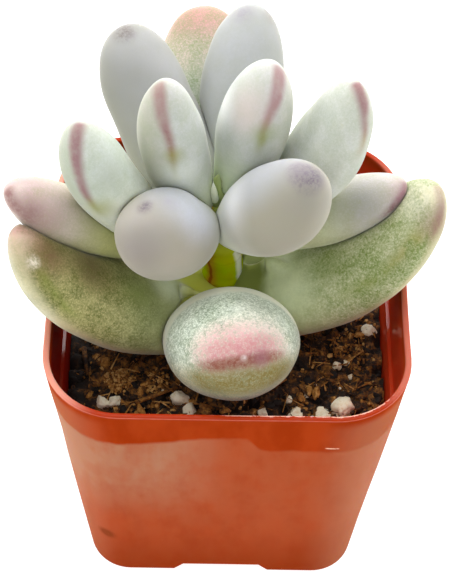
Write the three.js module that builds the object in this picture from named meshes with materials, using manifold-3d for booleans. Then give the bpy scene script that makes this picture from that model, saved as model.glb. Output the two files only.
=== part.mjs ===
// A plump-leaved succulent in a square nursery pot, in millimetres, with +Z up.
// The origin is the centre of the pot's underside. The photograph looks along +Y, with +X to its right.
import * as THREE from "three";
import { mergeVertices } from "three/addons/utils/BufferGeometryUtils.js";
import Module from "manifold-3d";

const wasm = await Module();
wasm.setup();

// The gap between pieces that touch
const CLEARANCE = 0.3;
const MERGE_DISTANCE = 0.0001;

// The pot: a 64 mm square nursery pot, 63.5 mm high, that tapers to its foot
const POT_TOP_WIDTH = 64;
const POT_BASE_WIDTH = 51.5;
const POT_HEIGHT = 63.5;
const TOP_CORNER_RADIUS = 13.5;
const BASE_CORNER_RADIUS = 8;
const RIM_THICKNESS = 1.1;
const RIM_EDGE = 0.3;
const UPPER_WALL = 1;
const LOWER_WALL = 1.8;
const LEDGE_HEIGHT = 52.5;
const FLOOR_THICKNESS = 1.2;
const FOOT_EDGE = 0.8;
const CORNER_STEPS = 6;
const SHARPEST_CORNER = 0.3;

// The drain channel under the middle of each side, and its hole
const CHANNEL_WIDTH = 19;
const CHANNEL_HEIGHT = 1.4;
const CHANNEL_DEPTH = 9;
const DRAIN_RADIUS = 2.6;
const DRAIN_INSET = 5.4;
const DRAIN_SIDES = 16;

// The potting mix, its waves, and the crumbs scattered on it
const SOIL_LEVEL = 49;
const SOIL_RINGS = [0.93, 0.82, 0.7, 0.58, 0.46, 0.34, 0.22, 0.1];
const SOIL_WAVE = 0.45;
const WAVE_NUMBER = 0.3;
const CRUMB_COUNT = 64;
const CRUMB_SEED = 2718;
const CRUMB_REACH = 26.5;
const CRUMB_CLEAR = 9;
const CRUMB_MIN = 2;
const CRUMB_MAX = 4.4;
const LUMP_TILT = 0.4;
const LUMP_SLIM = 0.7;
const TWIG_TAPER = 0.7;
const TWIG_SIDES = 5;

// The stem leans back a little, from the middle of the mix to the growing tip
const STEM_FOOT = new THREE.Vector3(0, 2, 49);
const STEM_TIP = new THREE.Vector3(-2, 5.5, 76);
const STEM_FOOT_RADIUS = 4.2;
const STEM_TIP_RADIUS = 2.8;
const STEM_BURIED = 20;
const STEM_DOME = 1.4;
const STEM_ROUNDING = 0.7;
const STEM_SIDES = 14;
const SCAR_SPACING = 3;
const SCAR_DEPTH = 0.25;

// Every leaf is a bent egg. turn: its compass direction, from +X towards +Y. rise: its slope where it
// leaves the stem. curl: how much steeper its tip is. sweep: how far its tip turns sideways. roll: its
// twist about its own length. height: where it leaves the stem, above the stem's foot. widest: where
// along its length it is widest. point: how pointed its tip is, from 0.5 for an egg's end.
const LEAVES = {
  front_low_leaf: {
    turn: 271, rise: 22, curl: 32, sweep: 11, roll: 0, height: 4.5,
    length: 34, width: 24, thick: 19, widest: 0.46, point: 0.5,
  },
  front_left_leaf: {
    turn: 232, rise: 17, curl: 58, sweep: -13, roll: 0, height: 22.5,
    length: 25, width: 15, thick: 16, widest: 0.66, point: 0.5,
  },
  front_right_leaf: {
    turn: 313, rise: 45, curl: 22, sweep: 10, roll: 0, height: 23,
    length: 33, width: 14.5, thick: 16, widest: 0.52, point: 0.5,
  },
  centre_left_leaf: {
    turn: 167, rise: 66, curl: 24, sweep: 14, roll: 0, height: 19,
    length: 38.5, width: 12.5, thick: 12, widest: 0.6, point: 0.58,
  },
  centre_right_leaf: {
    turn: 40, rise: 70, curl: 8, sweep: -13, roll: -20, height: 26,
    length: 31, width: 15.5, thick: 12.5, widest: 0.57, point: 0.58,
  },
  left_upper_leaf: {
    turn: 194, rise: 29, curl: 57, sweep: -14, roll: 0, height: 17.5,
    length: 42.5, width: 12.5, thick: 12, widest: 0.68, point: 0.6,
  },
  right_upper_leaf: {
    turn: 5, rise: 33, curl: 54, sweep: 5, roll: 19, height: 21.5,
    length: 40, width: 15, thick: 10.5, widest: 0.58, point: 0.55,
  },
  left_pink_leaf: {
    turn: 185, rise: 17, curl: 34, sweep: 13, roll: 0, height: 15.5,
    length: 43, width: 12, thick: 10, widest: 0.68, point: 0.52,
  },
  right_pink_leaf: {
    turn: 8, rise: 16, curl: 24, sweep: -13, roll: 0, height: 17,
    length: 34, width: 12, thick: 10, widest: 0.56, point: 0.52,
  },
  back_left_leaf: {
    turn: 134, rise: 44, curl: 5, sweep: -13, roll: 0, height: 19,
    length: 40, width: 16, thick: 11, widest: 0.68, point: 0.5,
  },
  back_right_leaf: {
    turn: 81, rise: 48, curl: -2, sweep: -1, roll: 0, height: 19,
    length: 40, width: 15, thick: 11, widest: 0.64, point: 0.5,
  },
  left_big_leaf: {
    turn: 210, rise: 14, curl: 54, sweep: -31, roll: 2, height: 4,
    length: 49, width: 21, thick: 13.5, widest: 0.4, point: 0.5,
  },
  right_big_leaf: {
    turn: -10, rise: 14, curl: 54, sweep: 30, roll: 2, height: 5,
    length: 46.5, width: 21, thick: 13.5, widest: 0.4, point: 0.5,
  },
  back_low_leaf: {
    turn: 96, rise: 36, curl: 5, sweep: 3, roll: 0, height: 10,
    length: 47, width: 20, thick: 14, widest: 0.64, point: 0.5,
  },
};

// The youngest pair, still upright at the growing tip
const YOUNG_LEAVES = {
  young_front_leaf: {
    turn: 250, rise: 76, curl: 0, sweep: 0, roll: 0, height: 27,
    length: 7.4, width: 2.6, thick: 1.6, widest: 0.45, point: 0.8,
  },
  young_back_leaf: {
    turn: 258, rise: 100, curl: 0, sweep: 0, roll: 0, height: 27,
    length: 8, width: 4, thick: 2.4, widest: 0.45, point: 0.8,
  },
};
const LEAF_MESH = { sides: 18, rings: 11 };
const YOUNG_MESH = { sides: 10, rings: 7 };

// How far a leaf's root reaches into the stem before it is trimmed, and how full its neck is
const ROOT_DEPTH = 1.2;
const NECK = 0.42;
const NECK_SWELL = 1.35;
const SPINE_STEPS = 60;
const RING_CROWDING = 0.75;

// Lumps of pumice and chips of bark that show between the leaves and the rim, and two twigs
const PUMICE_LUMPS = [
  { x: -21, y: -19.5, size: 4.2 },
  { x: -7.5, y: -18.5, size: 4.4 },
  { x: 20.5, y: -20, size: 5.4 },
  { x: 16.2, y: -21.6, size: 3.4 },
  { x: 12.4, y: -20.6, size: 3.2 },
  { x: 11, y: -17.4, size: 3 },
  { x: 6.6, y: -20.6, size: 3.6 },
  { x: 26, y: -2.2, size: 3.6 },
  { x: 20.8, y: -9.6, size: 2.8 },
  { x: 22.4, y: -13, size: 3 },
  { x: 24.6, y: -16.4, size: 3.2 },
];
const BARK_CHIPS = [
  { x: 15.9, y: -17.4, size: 3.8 },
  { x: 13.4, y: -14.6, size: 3.4 },
  { x: -17, y: -15.7, size: 4 },
  { x: -20.3, y: -13.4, size: 4.8 },
  { x: -12, y: -20.4, size: 3.6 },
  { x: 2, y: -21.4, size: 3.4 },
];
const TWIGS = [
  { from: [-16.1, -19.6], to: [-8.8, -16], radius: 0.7 },
  { from: [-26, -7.8], to: [-25, -14], radius: 0.6 },
];
const CHIP = { shape: new THREE.OctahedronGeometry(1, 0), tall: 0.8, sunk: 0.1 };
const PEBBLE = { shape: new THREE.IcosahedronGeometry(1, 0), tall: 0.85, sunk: 0.02 };

// The finishes
const FINISHES = {
  pot: { color: 0xb8472a, roughness: 0.35, metalness: 0 },
  soil: { color: 0x3a2a20, roughness: 1, metalness: 0 },
  stem: { color: 0x8ea046, roughness: 0.6, metalness: 0 },
  frosted: { color: 0xd9dcdc, roughness: 0.7, metalness: 0 },
  greyGreen: { color: 0xb4bfae, roughness: 0.7, metalness: 0 },
  pink: { color: 0xc4adad, roughness: 0.7, metalness: 0 },
  young: { color: 0xb5c49a, roughness: 0.6, metalness: 0 },
};
const FROSTED_LEAVES = ["front_left_leaf", "front_right_leaf", "back_left_leaf", "back_right_leaf"];
const PINK_LEAVES = ["left_pink_leaf", "right_pink_leaf"];

const rad = THREE.MathUtils.degToRad;
const lerp = THREE.MathUtils.lerp;
const RIGHT_ANGLE = Math.PI / 2;

// A closed geometry as a solid, with its faces turned outward
function toSolid(geometry) {
  const bare = geometry.clone();
  bare.deleteAttribute("normal");
  bare.deleteAttribute("uv");
  const merged = mergeVertices(bare, MERGE_DISTANCE);
  const place = merged.getAttribute("position");
  const corners = [];
  let volume = 0;
  for (let i = 0; i < merged.index.count; i += 3) {
    const face = [0, 1, 2].map((k) => merged.index.getX(i + k));
    if (new Set(face).size === 3) {
      const [a, b, c] = face.map((k) => new THREE.Vector3().fromBufferAttribute(place, k));
      volume += a.dot(b.cross(c));
      corners.push(...face);
    }
  }
  if (volume < 0) corners.reverse();
  const mesh = new wasm.Mesh({
    numProp: 3,
    vertProperties: new Float32Array(place.array),
    triVerts: new Uint32Array(corners),
  });
  return new wasm.Manifold(mesh);
}

// A solid as a named mesh with its finish
function toMesh(name, solid, finish) {
  const { vertProperties, triVerts, numProp } = solid.getMesh();
  const place = new Float32Array((vertProperties.length / numProp) * 3);
  for (let i = 0; i < place.length / 3; i += 1) {
    place.set(vertProperties.subarray(i * numProp, i * numProp + 3), i * 3);
  }
  const geometry = new THREE.BufferGeometry();
  geometry.setAttribute("position", new THREE.BufferAttribute(place, 3));
  geometry.setIndex(new THREE.BufferAttribute(new Uint32Array(triVerts), 1));
  geometry.computeVertexNormals();
  const mesh = new THREE.Mesh(geometry, new THREE.MeshStandardMaterial(finish));
  mesh.name = name;
  return mesh;
}

// A seeded draw between two numbers
function seededDraw(seed) {
  let state = seed;
  return (low, high) => {
    state = (Math.imul(state, 1664525) + 1013904223) >>> 0;
    return lerp(low, high, state / 2 ** 32);
  };
}

// Half the pot's outer width at a height
function potHalf(z) {
  return lerp(POT_BASE_WIDTH, POT_TOP_WIDTH, z / POT_HEIGHT) / 2;
}

function lowerHalf(z) {
  return potHalf(z) - LOWER_WALL;
}

// A profile of [half width, height] points carried round a square with round corners
function squareTurned(profile, level = (x, y, z) => z) {
  const cornerPoints = CORNER_STEPS + 1;
  const steps = 4 * cornerPoints;
  const points = profile.map(([half, z]) => new THREE.Vector2(half, z));
  const geometry = new THREE.LatheGeometry(points, steps);
  const place = geometry.getAttribute("position");
  const uv = geometry.getAttribute("uv");
  for (let i = 0; i < place.count; i += 1) {
    const step = Math.round(uv.getX(i) * steps) % steps;
    const [half, z] = profile[Math.round(uv.getY(i) * (profile.length - 1))];
    const quarter = Math.floor(step / cornerPoints);
    const angle = (quarter + (step % cornerPoints) / CORNER_STEPS) * RIGHT_ANGLE;
    const middle = (quarter + 0.5) * RIGHT_ANGLE;
    const outer = lerp(BASE_CORNER_RADIUS, TOP_CORNER_RADIUS, z / POT_HEIGHT);
    const radius = Math.max(outer - (potHalf(z) - half), half * SHARPEST_CORNER);
    const x = Math.sign(Math.cos(middle)) * (half - radius) + radius * Math.cos(angle);
    const y = Math.sign(Math.sin(middle)) * (half - radius) + radius * Math.sin(angle);
    place.setXYZ(i, x, y, half > 0 ? level(x, y, z) : z);
  }
  return geometry;
}

// Adds or cuts the same tool at the middle of each of the pot's four sides
function onEachSide(solid, tool, action) {
  let result = solid;
  for (let side = 0; side < 4; side += 1) {
    result = result[action](toSolid(tool.clone().rotateZ(side * RIGHT_ANGLE)));
  }
  return result;
}

// The space of a drain channel at the +Y side, grown inward and upward
function channelBox(grown, outerEnd, low) {
  const innerEnd = POT_BASE_WIDTH / 2 - CHANNEL_DEPTH - grown;
  const top = CHANNEL_HEIGHT + grown;
  const box = new THREE.BoxGeometry(CHANNEL_WIDTH + 2 * grown, outerEnd - innerEnd, top - low);
  return box.translate(0, (outerEnd + innerEnd) / 2, (top + low) / 2);
}

function makePot() {
  const topHalf = potHalf(POT_HEIGHT);
  const belowRim = POT_HEIGHT - RIM_EDGE;
  const shell = squareTurned([
    [0, 0],
    [potHalf(0) - FOOT_EDGE, 0],
    [potHalf(FOOT_EDGE), FOOT_EDGE],
    [potHalf(belowRim), belowRim],
    [topHalf - RIM_EDGE, POT_HEIGHT],
    [topHalf - RIM_THICKNESS + RIM_EDGE, POT_HEIGHT],
    [topHalf - RIM_THICKNESS, belowRim],
    [potHalf(LEDGE_HEIGHT) - UPPER_WALL, LEDGE_HEIGHT],
    [lowerHalf(LEDGE_HEIGHT), LEDGE_HEIGHT],
    [lowerHalf(FLOOR_THICKNESS), FLOOR_THICKNESS],
    [0, FLOOR_THICKNESS],
  ]);
  const raised = channelBox(FLOOR_THICKNESS, potHalf(0) - LOWER_WALL / 2, FLOOR_THICKNESS / 2);
  const channel = channelBox(0, potHalf(0) + FOOT_EDGE, -FOOT_EDGE);
  const drain = new THREE.CylinderGeometry(DRAIN_RADIUS, DRAIN_RADIUS, POT_HEIGHT / 4, DRAIN_SIDES);
  drain.rotateX(RIGHT_ANGLE);
  drain.translate(0, potHalf(0) - DRAIN_INSET, 0);
  let pot = toSolid(shell);
  pot = onEachSide(pot, raised, "add");
  pot = onEachSide(pot, channel, "subtract");
  return onEachSide(pot, drain, "subtract");
}

// Where the stem's middle is, and how thick it is, at a height above its foot
const STEM_RISE = STEM_TIP.z - STEM_FOOT.z;

function stemPoint(height) {
  return STEM_FOOT.clone().lerp(STEM_TIP, height / STEM_RISE);
}

function stemRadius(height) {
  return lerp(STEM_FOOT_RADIUS, STEM_TIP_RADIUS, height / STEM_RISE);
}

// The stem with a ring scar at every other step, grown on all sides
function makeStem(grown = 0) {
  const profile = [
    new THREE.Vector2(0, -STEM_BURIED - grown),
    new THREE.Vector2(STEM_FOOT_RADIUS * STEM_ROUNDING + grown, -STEM_BURIED - grown),
    new THREE.Vector2(STEM_FOOT_RADIUS + grown, 1 - STEM_BURIED),
  ];
  for (let step = 0; step * SCAR_SPACING <= STEM_RISE; step += 1) {
    const scar = step % 2 === 0 ? SCAR_DEPTH : 0;
    const height = step * SCAR_SPACING;
    profile.push(new THREE.Vector2(stemRadius(height) - scar + grown, height));
  }
  const shoulder = STEM_RISE + STEM_DOME * STEM_ROUNDING;
  profile.push(new THREE.Vector2(STEM_TIP_RADIUS * STEM_ROUNDING + grown, shoulder));
  profile.push(new THREE.Vector2(0, STEM_RISE + STEM_DOME + grown));
  const stem = new THREE.LatheGeometry(profile, STEM_SIDES);
  const lean = STEM_TIP.clone().sub(STEM_FOOT).normalize();
  stem.applyQuaternion(new THREE.Quaternion().setFromUnitVectors(new THREE.Vector3(0, 1, 0), lean));
  return toSolid(stem.translate(...STEM_FOOT));
}

// The direction of a leaf's middle line at a place along it, 0 at the root and 1 at the tip
function leafHeading(leaf, s) {
  const slope = rad(leaf.rise + leaf.curl * s);
  const heading = rad(leaf.turn + leaf.sweep * s);
  const flat = Math.cos(slope);
  return new THREE.Vector3(flat * Math.cos(heading), flat * Math.sin(heading), Math.sin(slope));
}

// A leaf's middle line from root to tip, with its sideways and upward directions at each step
function leafSpine(leaf) {
  const outward = new THREE.Vector3(1, 0, 0).applyAxisAngle(new THREE.Vector3(0, 0, 1), rad(leaf.turn));
  const point = stemPoint(leaf.height);
  point.addScaledVector(outward, stemRadius(leaf.height) - ROOT_DEPTH);
  const spine = [];
  for (let step = 0; step <= SPINE_STEPS; step += 1) {
    const s = step / SPINE_STEPS;
    const ahead = leafHeading(leaf, s);
    const heading = rad(leaf.turn + leaf.sweep * s);
    const side = new THREE.Vector3(-Math.sin(heading), Math.cos(heading), 0);
    side.applyAxisAngle(ahead, rad(leaf.roll));
    spine.push({ point: point.clone(), ahead, side, up: ahead.clone().cross(side) });
    point.addScaledVector(leafHeading(leaf, s + 0.5 / SPINE_STEPS), leaf.length / SPINE_STEPS);
  }
  return spine;
}

// How full a leaf is at a place along it, from its neck to its tip
function leafFullness(leaf, s) {
  if (s < leaf.widest) {
    return NECK + (1 - NECK) * Math.sin(RIGHT_ANGLE * (s / leaf.widest)) ** NECK_SWELL;
  }
  return Math.max(0, 1 - ((s - leaf.widest) / (1 - leaf.widest)) ** 2) ** leaf.point;
}

// The spine step of each ring of a leaf: the rings lie closer together towards the round tip
function ringStep(ring, rings) {
  const even = Math.max(ring - 1, 0) / (rings - 1);
  return Math.round(SPINE_STEPS * lerp(even, Math.sin(RIGHT_ANGLE * even), RING_CROWDING));
}

// A leaf as a ball drawn out along its spine, grown on all sides
function makeLeaf(leaf, { sides, rings }, grown = 0) {
  const spine = leafSpine(leaf);
  const ball = new THREE.SphereGeometry(1, sides, rings);
  const place = ball.getAttribute("position");
  const uv = ball.getAttribute("uv");
  for (let i = 0; i < place.count; i += 1) {
    const ring = Math.round((1 - uv.getY(i)) * rings);
    const { point, ahead, side, up } = spine[ringStep(ring, rings)];
    const pole = ring === 0 || ring === rings;
    const full = leafFullness(leaf, ringStep(ring, rings) / SPINE_STEPS);
    const angle = uv.getX(i) * 2 * Math.PI;
    const spot = point.clone();
    if (!pole) {
      spot.addScaledVector(side, Math.cos(angle) * ((leaf.width / 2) * full + grown));
      spot.addScaledVector(up, Math.sin(angle) * ((leaf.thick / 2) * full + grown));
    }
    if (ring === rings) spot.addScaledVector(ahead, grown);
    place.setXYZ(i, ...spot);
  }
  return toSolid(ball);
}

// The height of the potting mix, in crossing waves
function soilHeight(x, y) {
  const [a, b] = [WAVE_NUMBER * x, WAVE_NUMBER * y];
  return SOIL_LEVEL + SOIL_WAVE * (Math.cos(a) * Math.cos(b) + Math.sin(a + b) / 2);
}

// A lump half sunk in the mix, turned at random. tall: its height as a share of its size.
function lump({ shape, tall, sunk }, { x, y, size }, draw) {
  const solid = shape.clone();
  solid.scale(size / 2, (size / 2) * draw(LUMP_SLIM, 1), (size / 2) * tall);
  solid.rotateX(draw(-LUMP_TILT, LUMP_TILT));
  solid.rotateZ(draw(0, 2 * Math.PI));
  return toSolid(solid.translate(x, y, soilHeight(x, y) - sunk * size));
}

function twig({ from, to, radius }) {
  const [start, end] = [from, to].map(([x, y]) => new THREE.Vector3(x, y, soilHeight(x, y)));
  const along = end.clone().sub(start);
  const rod = new THREE.CylinderGeometry(radius * TWIG_TAPER, radius, along.length(), TWIG_SIDES);
  const turn = new THREE.Quaternion().setFromUnitVectors(new THREE.Vector3(0, 1, 0), along.normalize());
  const middle = start.clone().lerp(end, 0.5);
  return toSolid(rod.applyQuaternion(turn).translate(...middle));
}

function makeSoil() {
  const floor = FLOOR_THICKNESS + CLEARANCE;
  const wallHalf = lowerHalf(SOIL_LEVEL) - CLEARANCE;
  const bed = squareTurned(
    [
      [0, floor],
      [lowerHalf(floor) - CLEARANCE, floor],
      [wallHalf, SOIL_LEVEL],
      ...SOIL_RINGS.map((part) => [wallHalf * part, SOIL_LEVEL]),
      [0, soilHeight(0, 0)],
    ],
    (x, y, z) => (z < SOIL_LEVEL ? z : soilHeight(x, y)),
  );
  const draw = seededDraw(CRUMB_SEED);
  let soil = toSolid(bed);
  for (let i = 0; i < CRUMB_COUNT; i += 1) {
    const place = { x: draw(-CRUMB_REACH, CRUMB_REACH), y: draw(-CRUMB_REACH, CRUMB_REACH) };
    const clear = Math.hypot(place.x, place.y) > CRUMB_CLEAR;
    const crumb = lump(CHIP, { ...place, size: draw(CRUMB_MIN, CRUMB_MAX) }, draw);
    if (clear) soil = soil.add(crumb);
  }
  for (const place of BARK_CHIPS) soil = soil.add(lump(CHIP, place, draw));
  for (const place of PUMICE_LUMPS) soil = soil.add(lump(PEBBLE, place, draw));
  for (const stick of TWIGS) soil = soil.add(twig(stick));
  const raised = channelBox(FLOOR_THICKNESS + CLEARANCE, POT_TOP_WIDTH / 2, 0);
  const hollow = squareTurned([
    [0, floor],
    [lowerHalf(floor) - CLEARANCE, floor],
    [lowerHalf(LEDGE_HEIGHT) - CLEARANCE, LEDGE_HEIGHT],
    [0, LEDGE_HEIGHT],
  ]);
  return onEachSide(soil.intersect(toSolid(hollow)), raised, "subtract");
}

function leafFinish(name) {
  if (FROSTED_LEAVES.includes(name)) return FINISHES.frosted;
  return PINK_LEAVES.includes(name) ? FINISHES.pink : FINISHES.greyGreen;
}

// The leaves are laid on in order from the front, and each is trimmed where an earlier one presses it
const plant = new THREE.Group();
const stemRoom = makeStem(CLEARANCE);
let soil = makeSoil().subtract(stemRoom);
plant.add(toMesh("pot", makePot(), FINISHES.pot));
plant.add(toMesh("stem", makeStem(), FINISHES.stem));
const rooms = [];
const allLeaves = [
  ...Object.entries(LEAVES).map(([name, leaf]) => [name, leaf, LEAF_MESH, leafFinish(name)]),
  ...Object.entries(YOUNG_LEAVES).map(([name, leaf]) => [name, leaf, YOUNG_MESH, FINISHES.young]),
];
for (const [name, leaf, fineness, finish] of allLeaves) {
  let solid = makeLeaf(leaf, fineness).subtract(stemRoom);
  for (const room of rooms) solid = solid.subtract(room);
  const room = makeLeaf(leaf, fineness, CLEARANCE);
  rooms.push(room);
  soil = soil.subtract(room);
  plant.add(toMesh(name, solid, finish));
}
plant.add(toMesh("potting_mix", soil, FINISHES.soil));

export default plant;
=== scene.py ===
"""A small potted succulent with plump, frosted, egg-shaped leaves, dressed for a soft studio picture.

Every length in the tables is in millimetres. The pot stands on the floor at the origin, +Z is up, and the
picture looks along +Y from above.
"""

import logging
import math
import random
from dataclasses import dataclass, field
from enum import Enum
from typing import Any, Callable, Iterable, Sequence

import bmesh
import bpy
from mathutils import Matrix, Vector, noise
from mathutils.bvhtree import BVHTree


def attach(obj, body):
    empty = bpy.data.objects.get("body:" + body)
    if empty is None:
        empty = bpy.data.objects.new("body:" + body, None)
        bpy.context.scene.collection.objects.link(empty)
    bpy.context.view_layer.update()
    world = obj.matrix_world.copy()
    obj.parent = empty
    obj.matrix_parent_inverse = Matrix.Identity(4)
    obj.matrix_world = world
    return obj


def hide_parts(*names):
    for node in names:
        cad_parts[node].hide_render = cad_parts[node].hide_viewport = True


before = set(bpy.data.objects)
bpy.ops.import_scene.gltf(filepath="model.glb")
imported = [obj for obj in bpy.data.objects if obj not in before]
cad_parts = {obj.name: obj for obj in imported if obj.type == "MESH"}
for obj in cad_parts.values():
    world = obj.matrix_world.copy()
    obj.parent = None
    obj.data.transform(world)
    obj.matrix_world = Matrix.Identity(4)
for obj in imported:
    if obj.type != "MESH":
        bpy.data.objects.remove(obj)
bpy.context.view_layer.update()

log = logging.getLogger("potted_succulent")

MM = 0.001
BODY = "root"
RIGHT_ANGLE = math.pi / 2
MAKE = {"affect": "EDGES", "profile": 0.5, "material": -1}

Colour = tuple[float, float, float, float]


def lerp(low: float, high: float, share: float) -> float:
    """Return the value that lies a share of the way from low to high."""
    return low + (high - low) * share


def paint(code: str) -> Colour:
    """Turn a picture colour into the shader's own light values.

    Args:
        code: The colour as six hexadecimal digits after a hash sign.

    Returns:
        Red, green, blue and an alpha of one, in linear light.
    """
    parts = [int(code[i : i + 2], 16) / 255 for i in (1, 3, 5)]
    red, green, blue = (p / 12.92 if p < 0.04045 else ((p + 0.055) / 1.055) ** 2.4 for p in parts)
    return (red, green, blue, 1.0)


class Wire:
    """A shader socket that takes part in sums, as a number would."""

    def __init__(self, sheet: "ShaderSheet", socket: bpy.types.NodeSocket) -> None:
        """Keep the socket and the sheet that its sums are added to."""
        self.sheet = sheet
        self.socket = socket

    def _sum(self, operation: str, *others: Any, clamp: bool = False) -> "Wire":
        """Add one Math node with this socket first.

        Args:
            operation: The Math node's operation.
            others: The other values or wires of the sum.
            clamp: Whether the result stays between 0 and 1.

        Returns:
            The node's result.
        """
        values = dict(enumerate((self, *others)))
        settings = {"operation": operation, "use_clamp": clamp}
        return self.sheet.node("ShaderNodeMath", settings, values)[0]

    def __add__(self, other: Any) -> "Wire":
        """Return the sum."""
        return self._sum("ADD", other)

    __radd__ = __add__

    def __mul__(self, other: Any) -> "Wire":
        """Return the product."""
        return self._sum("MULTIPLY", other)

    __rmul__ = __mul__

    def __sub__(self, other: Any) -> "Wire":
        """Return the difference."""
        return self._sum("SUBTRACT", other)

    def __rsub__(self, other: float) -> "Wire":
        """Return a number less this wire."""
        return (self * -1.0) + other

    def __abs__(self) -> "Wire":
        """Return the size without its sign."""
        return self._sum("ABSOLUTE")

    def clamp(self) -> "Wire":
        """Keep the value between 0 and 1."""
        return self._sum("ADD", 0.0, clamp=True)

    def ramp(self, start: float, end: float) -> "Wire":
        """Rise smoothly from 0 at start to 1 at end, or the other way round.

        Args:
            start: The value where the result is 0.
            end: The value where the result is 1.

        Returns:
            The smooth share.
        """
        settings = {"interpolation_type": "SMOOTHSTEP"}
        if start < end:
            inputs = {"Value": self, "From Min": start, "From Max": end}
            return self.sheet.node("ShaderNodeMapRange", settings, inputs)["Result"]
        inputs = {"Value": self, "From Min": end, "From Max": start, "To Min": 1.0, "To Max": 0.0}
        return self.sheet.node("ShaderNodeMapRange", settings, inputs)["Result"]


class NodeOutputs:
    """The outputs of a node, each handed out as a wire."""

    def __init__(self, sheet: "ShaderSheet", made: bpy.types.Node) -> None:
        """Keep the node and its sheet."""
        self.sheet = sheet
        self.made = made

    def __getitem__(self, key: Any) -> Wire:
        """Return the output with this name or number."""
        return Wire(self.sheet, self.made.outputs[key])


class NodeSheet:
    """A node tree that is filled from scratch."""

    def __init__(self, tree: bpy.types.NodeTree) -> None:
        """Empty the tree.

        Args:
            tree: The tree to fill.
        """
        self.tree = tree
        self.tree.nodes.clear()

    def node(self, kind: str, settings: dict[str, Any] | None = None, inputs: dict[Any, Any] | None = None) -> NodeOutputs:
        """Add any node.

        Args:
            kind: The node's type.
            settings: Its settings, and under "stops" the places and colours of a ramp.
            inputs: The values or wires of its sockets, by name or number.

        Returns:
            The node's outputs.
        """
        made = self.tree.nodes.new(kind)
        for key, value in (settings or {}).items():
            if key == "stops":
                band = made.color_ramp.elements
                while len(band) < len(value):
                    band.new(0.5)
                for stop, (place, colour) in zip(band, value):
                    stop.position = place
                    stop.color = colour
            else:
                setattr(made, key, value)
        for key, value in (inputs or {}).items():
            socket = made.inputs[key]
            if isinstance(value, Wire):
                self.tree.links.new(value.socket, socket)
            else:
                socket.default_value = value
        return NodeOutputs(self, made)


class ShaderSheet(NodeSheet):
    """The node tree of one finish."""

    def __init__(self, name: str) -> None:
        """Start an empty material.

        Args:
            name: The material's name.
        """
        self.material = bpy.data.materials.new(name)
        self.material.use_nodes = True
        super().__init__(self.material.node_tree)
        self.spot = self.node("ShaderNodeTexCoord")["Object"]

    def mix(self, first: Any, second: Any, share: Any) -> Wire:
        """Blend two colours.

        Args:
            first: The colour where the share is 0.
            second: The colour where the share is 1.
            share: A number or a wire.

        Returns:
            The blended colour.
        """
        return self.node("ShaderNodeMix", {"data_type": "RGBA"}, {0: share, 6: first, 7: second})[2]

    def clouds(
        self,
        grain: float,
        detail: float = 3.0,
        shift: float = 0.0,
        rough: float = 0.55,
        stretch: Sequence[float] = (1, 1, 1),
    ) -> Wire:
        """Soft noise over the piece, from 0 to 1.

        Args:
            grain: The size of its patches.
            detail: How much fine detail it has.
            shift: How far along the noise this use of it lies.
            rough: How strong the fine detail is.
            stretch: How much longer the patches are along each axis.

        Returns:
            The noise.
        """
        scale = tuple(1 / (grain * MM * longer) for longer in stretch)
        spot = self.node("ShaderNodeVectorMath", {"operation": "MULTIPLY"}, {0: self.spot, 1: scale})[0]
        inputs = {"Vector": spot, "W": shift, "Scale": 1.0, "Detail": detail, "Roughness": rough}
        return self.node("ShaderNodeTexNoise", {"noise_dimensions": "4D"}, inputs)[0]

    def grains(self, size: float, shift: float = 0.0) -> Wire:
        """Distance from the middle of the nearest grain, in grain sizes."""
        inputs = {"Vector": self.spot, "W": shift, "Scale": 1 / (size * MM)}
        return self.node("ShaderNodeTexVoronoi", {"voronoi_dimensions": "4D"}, inputs)["Distance"]

    def place(self, name: str) -> tuple[Wire, Wire, Wire]:
        """The three numbers of an attribute that the piece carries."""
        spot = self.node("ShaderNodeAttribute", {"attribute_name": name})["Vector"]
        parts = self.node("ShaderNodeSeparateXYZ", None, {0: spot})
        return parts[0], parts[1], parts[2]

    def near(self, spot: Sequence[float], radius: float) -> Wire:
        """A soft round mask about a place on the piece.

        Args:
            spot: The middle, in millimetres.
            radius: Where the mask has faded out.

        Returns:
            One in the middle and nothing beyond the radius.
        """
        middle = tuple(v * MM for v in spot)
        away = self.node("ShaderNodeVectorMath", {"operation": "DISTANCE"}, {0: self.spot, 1: middle})["Value"]
        return away.ramp(radius * MM, 0.0)

    def bump(self, height: Wire, strength: float, depth: float, under: Wire | None = None) -> Wire:
        """Raise the surface by a pattern.

        Args:
            height: The pattern.
            strength: How strongly it shows.
            depth: Its height in millimetres.
            under: Another bump that it lies on.

        Returns:
            The surface direction.
        """
        inputs: dict[str, Any] = {"Height": height, "Strength": strength, "Distance": depth * MM}
        if under is not None:
            inputs["Normal"] = under
        return self.node("ShaderNodeBump", None, inputs)[0]

    def finish(self, inputs: dict[str, Any]) -> bpy.types.Material:
        """Close the sheet with its surface shader.

        Args:
            inputs: The values or wires of the shader's sockets.

        Returns:
            The finished material.
        """
        surface = self.node("ShaderNodeBsdfPrincipled", None, inputs)
        self.node("ShaderNodeOutputMaterial", None, {"Surface": surface[0]})
        return self.material


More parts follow.
